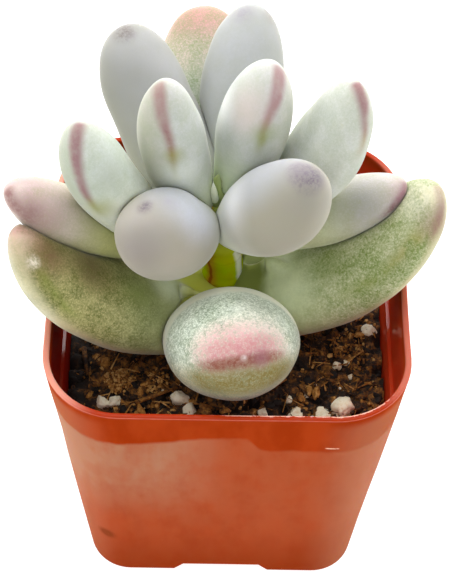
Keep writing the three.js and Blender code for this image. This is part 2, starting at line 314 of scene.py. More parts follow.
@dataclass
class Piece:
    """A shown piece of the object, from its mesh to its place in the frame."""

    name: str
    slot: str
    replaced: Sequence[str] = ()

    def place(self, mesh: bmesh.types.BMesh, dress: bpy.types.Material, smooth: bool = True) -> bpy.types.Object:
        """Turn a mesh into the piece, ride it on its body and hide the CAD parts that it replaces.

        Args:
            mesh: The shape, in metres. It is freed.
            dress: The finish.
            smooth: Whether its faces are shaded smoothly.

        Returns:
            The object.
        """
        data = bpy.data.meshes.new(self.name)
        mesh.to_mesh(data)
        mesh.free()
        data.materials.append(dress)
        for face in data.polygons:
            face.use_smooth = smooth
        made = bpy.data.objects.new(self.name, data)
        bpy.context.scene.collection.objects.link(made)
        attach(made, BODY)
        if self.replaced:
            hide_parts(*self.replaced)
        log.info("%s: %d faces", self.name, len(data.polygons))
        return made


def round_off(piece: bpy.types.Object, levels: int) -> None:
    """Give a piece a smooth subdivided surface, the same in view and render."""
    made = piece.modifiers.new("rounded", "SUBSURF")
    made.levels = levels
    made.render_levels = levels


# The stem, from the middle of the mix to the growing tip

STEM_FOOT = Vector((0, 2, 49))
STEM_TIP = Vector((-2, 5.5, 76))
STEM_RADII = (4.2, 2.8)
STEM_RISE = STEM_TIP.z - STEM_FOOT.z


def stem_point(height: float) -> Vector:
    """Return the stem's middle at a height above its foot."""
    return STEM_FOOT.lerp(STEM_TIP, height / STEM_RISE)


def stem_radius(height: float) -> float:
    """Return the stem's radius at a height above its foot."""
    return lerp(*STEM_RADII, height / STEM_RISE)


class Coat(Enum):
    """How the waxy coat lies on a leaf: its grit and its bare roughness."""

    WHOLE = (0.05, 0.55)
    CLEAR = (0.08, 0.52)
    DUSTED = (0.35, 0.45)
    WORN = (0.3, 0.42)


@dataclass(frozen=True)
class StainAndLightPatch:
    """A patch on a leaf, used for stains, painted highlights and painted shade: its middle, its radius, its colour, how
    strong and how patchy it is.
    """

    spot: tuple[float, float, float]
    radius: float
    colour: str
    strength: float
    patchy: float = 0.6


@dataclass(frozen=True)
class Stripe:
    """A stripe along a leaf, from the tip down: a stained margin line, a rubbed band or a pale rim.

    turn is how far in degrees it lies above the margin, lift how far in millimetres, bend how far it swings
    down towards the tip, side 1 or -1 keeps it to one side of the leaf, and the tone changes from low to
    high at change. grit is how much of its patchiness is fine.
    """

    high: str
    low: str
    strength: float = 0.85
    width: float = 0.85
    start: float = 0.56
    fade: float = 0.16
    stop: float = 1.5
    change: float = 0.7
    turn: float = 0.0
    side: int = 0
    soft: float = 1.2
    patchy: float = 0.3
    lift: float = 0.0
    bend: float = 0.0
    grit: float = 0.25

    def draw(self, sheet: ShaderSheet, skin: Wire, grain: "LeafGrain") -> Wire:
        """Draw the stripe over the skin.

        Args:
            sheet: The sheet of the finish.
            skin: The colour so far.
            grain: The places and noises of the leaf.

        Returns:
            The skin with its stripe.
        """
        turn = math.radians(self.turn)
        off = grain.above * math.cos(turn) - grain.across * math.sin(turn)
        off = off + grain.along.ramp(0.72, 0.95) * self.bend - self.lift
        width = grain.along.ramp(self.change, 1.0) * self.width * 0.7 + self.width * (grain.broad * 0.9 + 0.55)
        mask = (abs(off + (grain.patch - 0.5) * 1.1) - width).ramp(self.width * 0.7, -self.width * self.soft)
        mask = mask * (grain.along + (grain.fine - 0.5) * 0.08).ramp(self.start, self.start + self.fade)
        mask = mask * (grain.along + (grain.patch - 0.5) * 0.1).ramp(self.stop, self.stop - 0.1)
        if self.side:
            mask = mask * (grain.across * self.side).ramp(-0.9, 0.4)
        broken = (grain.patch * (1 - self.grit) + grain.fine * self.grit).ramp(0.36, 0.6)
        broken = broken * self.patchy + (1 - self.patchy)
        tone = sheet.mix(paint(self.low), paint(self.high), grain.along.ramp(self.change - 0.06, self.change + 0.06))
        return sheet.mix(skin, tone, mask * broken * self.strength)


@dataclass
class LeafGrain:
    """The places on a leaf and the noises that its finish shares."""

    along: Wire
    above: Wire
    across: Wire
    broad: Wire
    patch: Wire
    fine: Wire


@dataclass(frozen=True)
class LeafSkin:
    """The finish of a leaf: flesh under a waxy coat, with a stained margin line over its tip."""

    slot: str
    coat: Coat
    wax: str
    under: str
    root: str
    flesh: str
    tip: str
    tip_from: float = 0.8
    tip_strength: float = 0.3
    cover: float = 0.9
    fleck: float = 0.05
    scuff: float = 0.1
    root_to: float = 0.45
    under_from: float = 2.0
    under_share: float = 0.85
    base: str | None = None
    base_to: float = 0.2
    stripes: tuple[Stripe, ...] = ()
    stains_and_light_patches: tuple[StainAndLightPatch, ...] = ()
    seed: float = 0.0

    def dress(self, name: str) -> bpy.types.Material:
        """Mix the leaf's finish.

        Args:
            name: The material's name.

        Returns:
            The material.
        """
        sheet = ShaderSheet(name)
        along, above, across = sheet.place("leaf_place")
        broad = sheet.clouds(9, 2, self.seed)
        patch = sheet.clouds(3.2, 4, self.seed + 3)
        fine = sheet.clouds(0.45, 2, self.seed + 7, 0.7)
        grain = LeafGrain(along, above, across, broad, patch, fine)
        speck = sheet.grains(0.3, self.seed).ramp(0.6, 0.3)
        below = (above + (broad - 0.5) * 2).ramp(self.under_from, self.under_from - 6)
        at = along + (broad - 0.5) * 0.16
        wax = sheet.mix(paint(self.wax), paint(self.under), below * self.under_share)
        # The root colour is partly the leaf's own paler base and partly painted light that lifts the shaded bases
        # between the leaves.
        wax = sheet.mix(wax, paint(self.root), at.ramp(self.root_to, self.root_to - 0.4))
        wax = sheet.mix(wax, paint(self.tip), at.ramp(self.tip_from, 1.0) * self.tip_strength)
        flesh = sheet.mix(paint(self.flesh), paint(self.root), at.ramp(self.root_to, 0.0) * 0.6)
        rubbed = (patch + broad * 0.5).ramp(0.86, 0.66)
        grainy = (speck * 0.5 + (fine - 0.5) * 2.4 - 0.15) * at.ramp(0.15, 0.5) * self.fleck
        cover = (rubbed * self.scuff * -1.0 + grainy + (broad - 0.5) * 0.16 + self.cover).clamp()
        skin = sheet.mix(flesh, wax, cover)
        # A colour over the root end: a painted highlight on the front low leaf, and on the two big leaves their own
        # root colour with painted light on the left one and painted shade on the right one.
        if self.base:
            skin = sheet.mix(skin, paint(self.base), (at + (patch - 0.5) * 0.06).ramp(self.base_to, self.base_to - 0.07))
        for stripe in self.stripes:
            skin = stripe.draw(sheet, skin, grain)
        # The patches: stains, and on some leaves painted highlights and painted shade.
        for stain_and_light in self.stains_and_light_patches:
            broken = (patch * 0.5 + fine * 0.5).ramp(0.4, 0.6) * stain_and_light.patchy + (1 - stain_and_light.patchy)
            skin = sheet.mix(skin, paint(stain_and_light.colour), sheet.near(stain_and_light.spot, stain_and_light.radius) * broken * stain_and_light.strength)
        grit, bare = self.coat.value
        relief = sheet.bump(broad + patch * 0.3, 0.25, 0.5)
        relief = sheet.bump(speck * 0.5 + fine, grit, 0.06, relief)
        return sheet.finish(
            {
                "Base Color": skin,
                "Roughness": (cover * 0.2 + bare).clamp(),
                "Normal": relief,
                "Subsurface Weight": 0.55,
                "Subsurface Radius": (1.0, 0.9, 0.6),
                "Subsurface Scale": 4.0 * MM,
                "Specular IOR Level": 0.3,
                "Sheen Weight": 0.3,
                "Sheen Roughness": 0.4,
                "Sheen Tint": (1.0, 1.0, 0.94, 1.0),
            }
        )


@dataclass
class Leaf:
    """A plump leaf: an egg bent along a curved middle line.

    turn is its compass direction from +X towards +Y, rise its slope at the root, curl how much steeper
    the tip is, sweep how far the tip turns sideways, roll its twist, height where it leaves the stem,
    widest where along it it is widest, and point how pointed the tip is.
    """

    node: str
    turn: float
    rise: float
    curl: float
    sweep: float
    roll: float
    height: float
    length: float
    width: float
    thick: float
    widest: float
    point: float
    skin: LeafSkin
    tuck: float = 0.0
    sides: int = 44
    rings: int = 34
    steps: int = 120
    root_depth: float = 1.2
    neck: float = 0.42
    neck_swell: float = 1.35
    petiole: float = 0.0
    crowding: float = 0.75
    dent: float = 0.22
    pressed_gap: float = 0.12
    reach: float = 9.0

    def heading(self, share: float) -> tuple[float, float]:
        """Return the slope and the compass direction at a share of the length, in radians."""
        return math.radians(self.rise + self.curl * share), math.radians(self.turn + self.sweep * share)

    def ahead(self, share: float) -> Vector:
        """Return the direction of the middle line at a share of the length."""
        slope, compass = self.heading(share)
        return Vector((math.cos(slope) * math.cos(compass), math.cos(slope) * math.sin(compass), math.sin(slope)))

    def spine(self) -> list[tuple[Vector, Vector, Vector]]:
        """Work out the middle line.

        Returns:
            A point, a sideways and an upward direction at each step.
        """
        outward = Vector((math.cos(math.radians(self.turn)), math.sin(math.radians(self.turn)), 0))
        point = stem_point(self.height) + outward * (stem_radius(self.height) - self.root_depth)
        line = []
        for step in range(self.steps + 1):
            share = step / self.steps
            ahead = self.ahead(share)
            compass = self.heading(share)[1]
            side = Vector((-math.sin(compass), math.cos(compass), 0))
            side.rotate(Matrix.Rotation(math.radians(self.roll), 3, ahead))
            sunk = Vector((0, 0, self.tuck * max(0.0, 1 - share / 0.4) ** 2))
            line.append((point - sunk, side, ahead.cross(side)))
            point += self.ahead(share + 0.5 / self.steps) * (self.length / self.steps)
        return line

    def fullness(self, share: float) -> float:
        """Return how full the leaf is at a share of its length."""
        if share < self.widest:
            past = max(0.0, share - self.petiole) / (self.widest - self.petiole)
            swell = math.sin(RIGHT_ANGLE * past) ** self.neck_swell
            return self.neck + (1 - self.neck) * swell
        past = (share - self.widest) / (1 - self.widest)
        return max(0.0, 1 - past * past) ** self.point

    def shape(self, neighbours: Iterable[BVHTree]) -> bmesh.types.BMesh:
        """Draw a ball out along the middle line and press it against its neighbours.

        Args:
            neighbours: The surfaces of the leaves that press it, in millimetres.

        Returns:
            The leaf, in millimetres, with its own places written on it.
        """
        line = self.spine()
        mesh = bmesh.new()
        bmesh.ops.create_uvsphere(mesh, u_segments=self.sides, v_segments=self.rings, radius=1)
        place = mesh.verts.layers.float_vector.new("leaf_place")
        for vert in mesh.verts:
            ring = round((1 - math.acos(max(-1, min(1, vert.co.z))) / math.pi) * self.rings)
            even = max(ring - 1, 0) / (self.rings - 1)
            share = lerp(even, math.sin(RIGHT_ANGLE * even), self.crowding)
            at = share * self.steps
            low = min(int(at), self.steps - 1)
            point, side, up = (a.lerp(b, at - low) for a, b in zip(line[low], line[low + 1]))
            full = 0.0 if ring in (0, self.rings) else self.fullness(share)
            angle = math.atan2(vert.co.y, vert.co.x)
            across = math.cos(angle) * self.width / 2 * full
            above = math.sin(angle) * self.thick / 2 * full
            vert.co = point + side * across + up * above
            vert[place] = (share, above, across)
        mesh.normal_update()
        for vert in mesh.verts:
            swell = noise.noise(vert.co * 0.16 + Vector((self.skin.seed, 0, 0)))
            vert.co += vert.normal * (swell - 1) * self.dent * min(1.0, vert[place][0] * 3)
        for surface in neighbours:
            self.press(mesh, surface)
        return mesh

    def press(self, mesh: bmesh.types.BMesh, surface: BVHTree) -> None:
        """Move what lies inside a neighbour out to its surface.

        Args:
            mesh: The leaf.
            surface: The neighbour.
        """
        for vert in mesh.verts:
            touch, normal, _, _ = surface.find_nearest(vert.co, self.reach)
            if touch is not None and (vert.co - touch).dot(normal) < self.pressed_gap:
                vert.co = touch + normal * self.pressed_gap

    def build(self, neighbours: list[BVHTree]) -> bpy.types.Object:
        """Make the leaf and add its surface to those that press the later ones.

        Args:
            neighbours: The surfaces of the leaves made so far.

        Returns:
            The leaf.
        """
        mesh = self.shape(neighbours)
        neighbours.append(BVHTree.FromBMesh(mesh))
        mesh.transform(Matrix.Scale(MM, 4))
        dress = self.skin.dress(f"{self.node}_skin")
        made = Piece(f"{self.node}_flesh", self.skin.slot, [self.node]).place(mesh, dress)
        round_off(made, 1)
        return made


RED, OLIVE = "#8f5f66", "#8e8f52"
FROSTED = dict(
    slot="frosted_leaf", coat=Coat.WHOLE, flesh="#9a9e8a", cover=0.92, fleck=0.12, scuff=0.1, under_from=6.5,
)
CLEAR = dict(
    slot="grey_green_leaf", coat=Coat.CLEAR, flesh="#93a47a", cover=0.86, fleck=0.2, scuff=0.14, tip="#d0c8ca",
    root_to=0.55,
)
MAUVE = dict(
    slot="pink_leaf", coat=Coat.DUSTED, flesh="#9c9e6c", cover=0.84, fleck=0.3, scuff=0.2, tip_from=0.5,
    tip_strength=0.9, root_to=0.85,
)
BIG = dict(slot="grey_green_leaf", coat=Coat.WORN, fleck=0.8, scuff=0.3, tip_from=0.85, tip_strength=0.8)

# The leaves in order from the front, which is the order they press each other in

LEAVES = (
    Leaf(
        "front_low_leaf", 271, 22, 32, 11, 0, 4.4, 34, 24.4, 19.4, 0.46, 0.5,
        LeafSkin(
            # The lightened underside colour is painted light on the shaded lower rim, and the pale root half is a
            # painted highlight for the bright rim round the outline.
            "grey_green_leaf", Coat.DUSTED, "#e6eee0", "#e2d8a8", "#9aa863", "#748969", "#e0dac6", 0.72, 0.5,
            cover=0.66, fleck=0.9, scuff=0.2, under_from=1.0, base="#e4e6d4", base_to=0.575, seed=1.5,
            stripes=(
                Stripe("#76660a", "#76660a", 0.95, 2.3, 0.7, 0.16, lift=-4.3, soft=1.0, patchy=0.45, grit=0.9),
                Stripe("#f2e6da", "#f2e6da", 0.45, 3.6, 0.76, 0.2, lift=4.2, soft=1.2, patchy=0.4, grit=0.6),
                Stripe("#d09a9e", "#d09a9e", 0.85, 2.8, 0.78, 0.2, lift=3.8, soft=1.2, patchy=0.7, grit=0.8),
                Stripe("#b8767a", "#b8767a", 0.7, 1.4, 0.84, 0.14, lift=1.4, soft=1.2, patchy=0.6, grit=0.8),
                Stripe("#84442e", "#84442e", 0.9, 0.7, 0.84, 0.12, lift=-0.8, soft=1.2, patchy=0.4, grit=0.7),
            ),
            stains_and_light_patches=(
                StainAndLightPatch((5.6, -16.5, 74.0), 7.5, "#fffdee", 0.6, 0.6),
                StainAndLightPatch((5.6, -26.0, 73.2), 3.0, "#94606c", 0.7, 0.25),
                StainAndLightPatch((2.6, -26.9, 74.2), 1.2, "#ffffff", 1.8, 0.95),
            ),
        ),
    ),
    Leaf(
        "front_left_leaf", 232, 17, 58, -13, 0, 23.5, 25, 15, 16.8, 0.6, 0.5,
        LeafSkin(
            **FROSTED, wax="#bfc2cb", under="#a39a86", root="#d0d2c4", tip="#aca8ae", seed=2.1,
            stains_and_light_patches=(
                # The broad grey-brown patch low on the left is painted shade.
                StainAndLightPatch((-15.8, -12.8, 84.8), 7.0, "#8d8482", 0.55, 0.1),
                StainAndLightPatch((-14.4, -7.4, 89.8), 2.2, "#6f6470", 0.9),
                StainAndLightPatch((-10.3, -6.4, 89.2), 2.4, "#a19aa6", 0.4),
            ),
        ),
        neck=0.22, neck_swell=0.55, petiole=0.04, tuck=-1.2, root_depth=0.6,
    ),
    Leaf(
        "front_right_leaf", 313, 45, 22, 10, 0, 23, 33, 14.5, 16, 0.52, 0.5,
        LeafSkin(
            **FROSTED, wax="#a8a9b0", under="#9c9680", root="#f6f8f0", tip="#a49fa6", root_to=0.52, seed=3.4,
            stains_and_light_patches=(
                StainAndLightPatch((12.1, -8.1, 99.5), 4.6, "#6a5f70", 1.2), StainAndLightPatch((10.6, -7.1, 99.4), 3.6, "#8a8088", 0.9),
                # The broad white patch at the leaf's left end is a painted highlight.
                StainAndLightPatch((-0.6, -3.8, 86.1), 8.0, "#ffffff", 0.5, 0.1),
            ),
        ),
        tuck=1.2, neck_swell=1.0,
    ),
    Leaf(
        "centre_left_leaf", 167, 66, 24, 14, 0, 19, 38.7, 12.5, 12, 0.6, 0.58,
        LeafSkin(
            **CLEAR, wax="#c9ccca", under="#b2aea0", root="#f2fbd8", seed=4.2,
            stains_and_light_patches=(
                # The broad near-white patch low on the leaf is a painted highlight.
                StainAndLightPatch((-8.7, -0.1, 88.2), 6.0, "#f4faec", 0.6, 0.1), StainAndLightPatch((-9.7, 0.1, 93.6), 2.8, "#9c9c48", 0.6, 0.2),
            ),
            stripes=(
                Stripe("#9c7274", OLIVE, turn=8, side=1, start=0.48, change=0.66, bend=1.4),
                Stripe("#8a5a56", "#8a7450", 0.6, 0.5, 0.6, 0.08, 0.88, 0.76, turn=8, side=1, bend=1.4, patchy=0.6),
            ),
        ),
    ),
    Leaf(
        "centre_right_leaf", 40, 70, 8, -13, -20, 26, 31, 15.5, 12.5, 0.57, 0.58,
        LeafSkin(
            **CLEAR, wax="#c4c6c4", under="#cac9c0", root="#e2f0c6", seed=5.7,
            stripes=(
                Stripe("#9c7276", OLIVE, turn=-8, side=-1, start=0.5, change=0.7, bend=1.5),
                Stripe("#8a5a56", "#8a7450", 0.5, 0.45, 0.64, 0.08, 0.9, 0.8, turn=-8, side=-1, bend=1.5, patchy=0.6),
            ),
            stains_and_light_patches=(
                # The white patch on the leaf's left side is a painted highlight.
                StainAndLightPatch((1.9, 5.7, 99.4), 7.0, "#dccac4", 0.6, 0.1), StainAndLightPatch((-1.8, 9.3, 95.3), 5.5, "#ffffff", 0.7, 0.1),
                StainAndLightPatch((5.1, 3.0, 96.2), 3.2, "#8e9c52", 0.55, 0.2),
            ),
        ),
    ),
    Leaf(
        "left_upper_leaf", 194, 29, 57, -14, 0, 17.5, 43, 12.5, 12, 0.68, 0.6,
        LeafSkin(
            **CLEAR | {"root_to": 0.8}, wax="#d0d8d2", under="#aab29e", root="#f6fce6", seed=6.3,
            stripes=(Stripe(RED, OLIVE, turn=-15, side=1),),
            stains_and_light_patches=(
                # The near-white patch beside the front-left leaf is a painted highlight; the grey patch is painted
                # shade darkening the middle.
                StainAndLightPatch((-17.6, -5.5, 85.0), 5.0, "#f6fbee", 0.9, 0.1), StainAndLightPatch((-20.1, -3.9, 93.3), 5.5, "#a4aa98", 0.45, 0.1),
                StainAndLightPatch((-21.6, -5.6, 86.4), 4.0, "#a0a458", 0.6, 0.2),
            ),
        ),
    ),
    Leaf(
        "right_upper_leaf", 5, 33, 54, 5, 19, 21.5, 41, 15, 10.5, 0.58, 0.55,
        LeafSkin(
            **CLEAR, wax="#d8dbd6", under="#b2b6ac", root="#b2b7a8", seed=7.9,
            stripes=(Stripe(RED, "#a89a78", start=0.68, change=0.84, side=-1),),
        ),
    ),
    Leaf(
        "left_pink_leaf", 185, 17, 34, 13, 0, 15.5, 43, 12, 10, 0.68, 0.52,
        LeafSkin(
            **MAUVE, wax="#d8d4c8", under="#c6c08c", root="#cdcf88", tip="#c6a8ae", seed=8.8,
            stripes=(
                Stripe("#d8d2c8", "#ccc9ae", 0.5, 1.4, 0.4, turn=-38, side=1),
                Stripe("#84504f", "#a8867c", 0.8, 0.9, 0.82, turn=-18, side=1, patchy=0.7),
            ),
            stains_and_light_patches=(
                StainAndLightPatch((-33.7, -6.0, 85.3), 4.5, "#8f6a66", 0.75, 0.4),
                StainAndLightPatch((-30.5, -6.2, 83.0), 4.0, "#a08472", 0.5, 0.5),
                StainAndLightPatch((-22.3, -1.0, 79.5), 6.0, "#8c8c58", 0.4, 0.3),
            ),
        ),
    ),
    Leaf(
        "right_pink_leaf", 8, 16, 24, -13, 0, 17, 34, 12, 10, 0.56, 0.52,
        LeafSkin(
            **MAUVE, wax="#a9aea6", under="#d0d2b4", root="#d0d5b0", tip="#d2c8cc", seed=9.1,
            stripes=(Stripe("#7a4650", "#9c8a72", 0.9, 0.7, 0.76, turn=10, side=-1, patchy=0.6),),
            stains_and_light_patches=(
                StainAndLightPatch((30.5, 3.4, 81.4), 4.5, "#b58a98", 0.7, 0.4), StainAndLightPatch((23.2, 2.8, 80.3), 6.5, "#8a8e86", 0.5, 0.2),
            ),
        ),
    ),
    Leaf(
        "back_left_leaf", 134, 44, 5, -13, 0, 19, 40, 16, 11, 0.68, 0.5,
        LeafSkin(
            **FROSTED, wax="#b5b5b7", under="#8a8a80", root="#a4a898", tip="#c2c2c6", seed=10.6,
            stains_and_light_patches=(
                # The broad grey patch is painted shade darkening the middle of the leaf.
                StainAndLightPatch((-19.0, 25.4, 97.6), 3.4, "#6f6260", 0.9), StainAndLightPatch((-17.7, 17.8, 93.4), 9.0, "#90918e", 0.5, 0.1),
            ),
        ),
        neck=1.25,
    ),
    Leaf(
        "back_right_leaf", 81, 48, -2, -1, 0, 19, 40.25, 15, 11, 0.64, 0.52,
        LeafSkin(
            **FROSTED, wax="#b6b8bb", under="#a4a6a2", root="#a8ab98", tip="#ccced2", seed=11.3,
            stains_and_light_patches=(StainAndLightPatch((1.5, 30.6, 97.6), 3.4, "#98909c", 0.6), StainAndLightPatch((6.5, 31.0, 96.0), 3.0, "#8c7f74", 0.6)),
        ),
    ),
    Leaf(
        "left_big_leaf", 210, 14, 54, -31, 2, 4, 49, 21, 13.5, 0.4, 0.5,
        LeafSkin(
            **BIG, wax="#bcb47c", under="#bfb184", root="#c6cf9c", flesh="#69702c", tip="#bea08c", cover=0.62,
            # The yellow-green foot colour is partly the leaf's own and partly painted light on its shaded foot by the
            # stem.
            root_to=0.62, under_from=-1.0, base="#c6cc50", base_to=0.25, seed=12.7,
            stripes=(
                Stripe("#cfcaa8", "#c4b48c", 0.7, 1.5, 0.3, turn=-14, side=1, patchy=0.2, soft=0.7),
                Stripe("#7c8e2a", "#7c8e2a", 0.7, 0.8, 0.62, stop=0.95, turn=10, side=1, patchy=0.9, bend=-1.9),
            ),
            stains_and_light_patches=(
                # The pale patch by the root is a painted highlight.
                StainAndLightPatch((-11.2, -3.2, 63.0), 5.5, "#dde6cc", 0.95, 0.1),
                StainAndLightPatch((-15.5, -8.8, 67.3), 7.0, "#76883a", 0.7, 0.5),
                # This dark olive-brown patch under the left pink leaf is partly the leaf's own colour and partly
                # painted shadow.
                StainAndLightPatch((-24.0, -7.9, 74.3), 8.0, "#64502a", 0.85, 0.4),
                StainAndLightPatch((-30.5, -10.2, 80.3), 7.0, "#6e4c32", 0.9, 0.3),
                StainAndLightPatch((-35.3, -8.2, 83.9), 6.0, "#b48c86", 0.8, 0.3),
                StainAndLightPatch((-32.8, -13.0, 81.3), 1.9, "#ece4d4", 0.9, 0.8),
            ),
        ),
        neck=0.85,
    ),
    Leaf(
        "right_big_leaf", -10, 14, 54, 30, 2, 5, 46.5, 21, 13.5, 0.4, 0.5,
        LeafSkin(
            **BIG, wax="#c9cba6", under="#c4b674", root="#dae4ba", flesh="#788c42", tip="#dcd0b8", cover=0.66,
            # The olive root colour is partly the leaf's own and partly painted shade from the front-right leaf.
            root_to=0.55, under_from=-1.0, base="#7f8a40", base_to=0.2, seed=13.2,
            stripes=(
                Stripe("#c9bf98", "#c4b280", 0.75, 1.5, 0.3, turn=14, side=-1, patchy=0.2, soft=0.7),
                Stripe("#a09a48", "#87933c", 0.7, 1.1, 0.4, stop=0.92, turn=-24, side=-1, patchy=0.9),
                Stripe("#7d4a4c", "#9c7464", 0.85, 0.8, 0.8, turn=-4, side=-1, change=0.86, patchy=0.5),
            ),
            stains_and_light_patches=(
                # The pale patch by the root is a painted highlight.
                StainAndLightPatch((11.2, -3.6, 63.0), 7.0, "#dde6c0", 0.9, 0.15),
                StainAndLightPatch((17.8, -2.3, 68.5), 5.0, "#768a34", 0.45, 0.5),
                StainAndLightPatch((32.6, 2.0, 82.2), 7.0, "#ecebd6", 0.65, 0.4),
                StainAndLightPatch((35.6, -2.0, 79.6), 5.0, "#8a6258", 0.6, 0.3),
            ),
        ),
        neck=0.9,
    ),
    Leaf(
        "back_low_leaf", 96, 36, 5, 3, 0, 10, 47, 20, 14, 0.64, 0.5,
        LeafSkin(
            "grey_green_leaf", Coat.DUSTED, "#d2d6c8", "#ccd2bd", "#a2b47c", "#7c965c", "#ca8e8e", 0.66, 1.0,
            cover=0.78, fleck=0.55, scuff=0.2, root_to=0.7, seed=14.9,
        ),
    ),
    Leaf(
        "young_front_leaf", 250, 80, 0, 0, 0, 27, 9.2, 1.9, 1.4, 0.35, 1.1,
        # Its near-white colour is partly painted light on the bud's shaded front.
        LeafSkin("young_leaf", Coat.CLEAR, "#fdffe8", "#f4fbd0", "#dbe89c", "#eef8c4", "#ffffee", cover=0.7, seed=15.5),
        sides=20, rings=16,
    ),
    Leaf(
        "young_back_leaf", 258, 100, 0, 0, 0, 27, 8, 4, 2.4, 0.45, 0.8,
        LeafSkin("young_leaf", Coat.CLEAR, "#b4c08c", "#9aa86c", "#8a9a50", "#93a45c", "#bcc89c", cover=0.5, seed=16.5),
        sides=20, rings=16,
    ),
)


@dataclass
class Stem:
    """The fleshy stem, ringed where its leaves are joined to it."""

    buried: float = 4.0
    sides: int = 40
    step: float = 0.5
    dome: float = 1.4
    joints: tuple[float, ...] = (4.5, 10.0, 15.5, 18.5, 22.5, 26.0)
    swell: float = 0.35

    def radius(self, height: float) -> float:
        """Return the radius at a height, swollen at each joint of leaves and pinched below it."""
        swell = sum(math.exp(-(((height - j) / 1.1) ** 2)) for j in self.joints)
        pinch = sum(math.exp(-(((height - j - 1.6) / 0.35) ** 2)) for j in self.joints)
        return stem_radius(height) + self.swell * (swell - 0.8 * pinch)

    def build(self) -> bpy.types.Object:
        """Raise a ring of the stem step by step and close it with a dome."""
        mesh = bmesh.new()
        place = mesh.verts.layers.float_vector.new("stem_place")
        bmesh.ops.create_circle(mesh, cap_ends=True, segments=self.sides, radius=1)
        edges = list(mesh.edges)
        turns = {v: math.atan2(v.co.y, v.co.x) for v in mesh.verts}
        count = int((STEM_RISE + self.buried) / self.step)
        heights = [i * self.step - self.buried for i in range(count + 1)]
        dome = [(STEM_RISE + self.dome * math.sin(a), math.cos(a)) for a in (0.3, 0.7, 1.1, 1.4)]
        for height, share in [*((h, 1.0) for h in heights), *dome]:
            middle = stem_point(height)
            for vert, turn in turns.items():
                radius = self.radius(min(height, STEM_RISE)) * share
                radius += 0.12 * noise.noise(Vector((math.cos(turn), math.sin(turn), height * 0.35)))
                vert.co = middle + Vector((math.cos(turn), math.sin(turn), 0)) * radius
                vert[place] = (height, turn, share)
            if (height, share) != dome[-1]:
                made = bmesh.ops.extrude_edge_only(mesh, edges=edges)["geom"]
                edges = [g for g in made if isinstance(g, bmesh.types.BMEdge)]
                edges = [e for e in edges if all(v not in turns for v in e.verts)]
                raised = {v for e in edges for v in e.verts}
                turns = {v: v[place][1] for v in raised}
        bmesh.ops.contextual_create(mesh, geom=edges)
        bmesh.ops.recalc_face_normals(mesh, faces=mesh.faces)
        mesh.transform(Matrix.Scale(MM, 4))
        return Piece("stem_flesh", "stem", ["stem"]).place(mesh, self.dress())

    def dress(self) -> bpy.types.Material:
        """Mix the stem's finish: yellow-green flesh, orange-brown scars and a pale painted highlight down its front
        right side.
        """
        sheet = ShaderSheet("stem_skin")
        height, turn, _ = sheet.place("stem_place")
        broad = sheet.clouds(4, 3, 0.5)
        fine = sheet.clouds(0.8, 3, 2.5)
        skin = sheet.mix(paint("#9bb400"), paint("#a7aa06"), broad.ramp(0.35, 0.65))
        skin = sheet.mix(skin, paint("#b9c86c"), height.ramp(16, 26) * 0.7)
        stain = abs(turn + 2.25 + (broad - 0.5) * 0.25)
        skin = sheet.mix(skin, paint("#b07a22"), stain.ramp(0.5, 0.1) * 0.7)
        skin = sheet.mix(skin, paint("#8a4a12"), stain.ramp(0.16, 0.04) * height.ramp(22, 18) * 0.9)
        # The pale band down the front right side is a painted highlight.
        wax = abs(turn + 0.6 + (broad - 0.5) * 0.4).ramp(0.34, 0.12)
        skin = sheet.mix(skin, paint("#e6e8d8"), wax * 0.85)
        rings = sheet.node("ShaderNodeMath", {"operation": "PINGPONG"}, {0: height + (fine - 0.5), 1: 2.6})[0]
        skin = sheet.mix(skin, paint("#6f5a20"), rings.ramp(0.35, 0.0) * 0.15)
        relief = sheet.bump(broad + fine * 0.4, 0.3, 0.3)
        return sheet.finish(
            {
                "Base Color": skin,
                "Roughness": (fine * 0.25 + 0.38).clamp(),
                "Normal": relief,
                "Specular IOR Level": 0.0,
                "Subsurface Weight": 0.5,
                "Subsurface Radius": (0.8, 1.0, 0.1),
                "Subsurface Scale": 2.5 * MM,
            }
        )


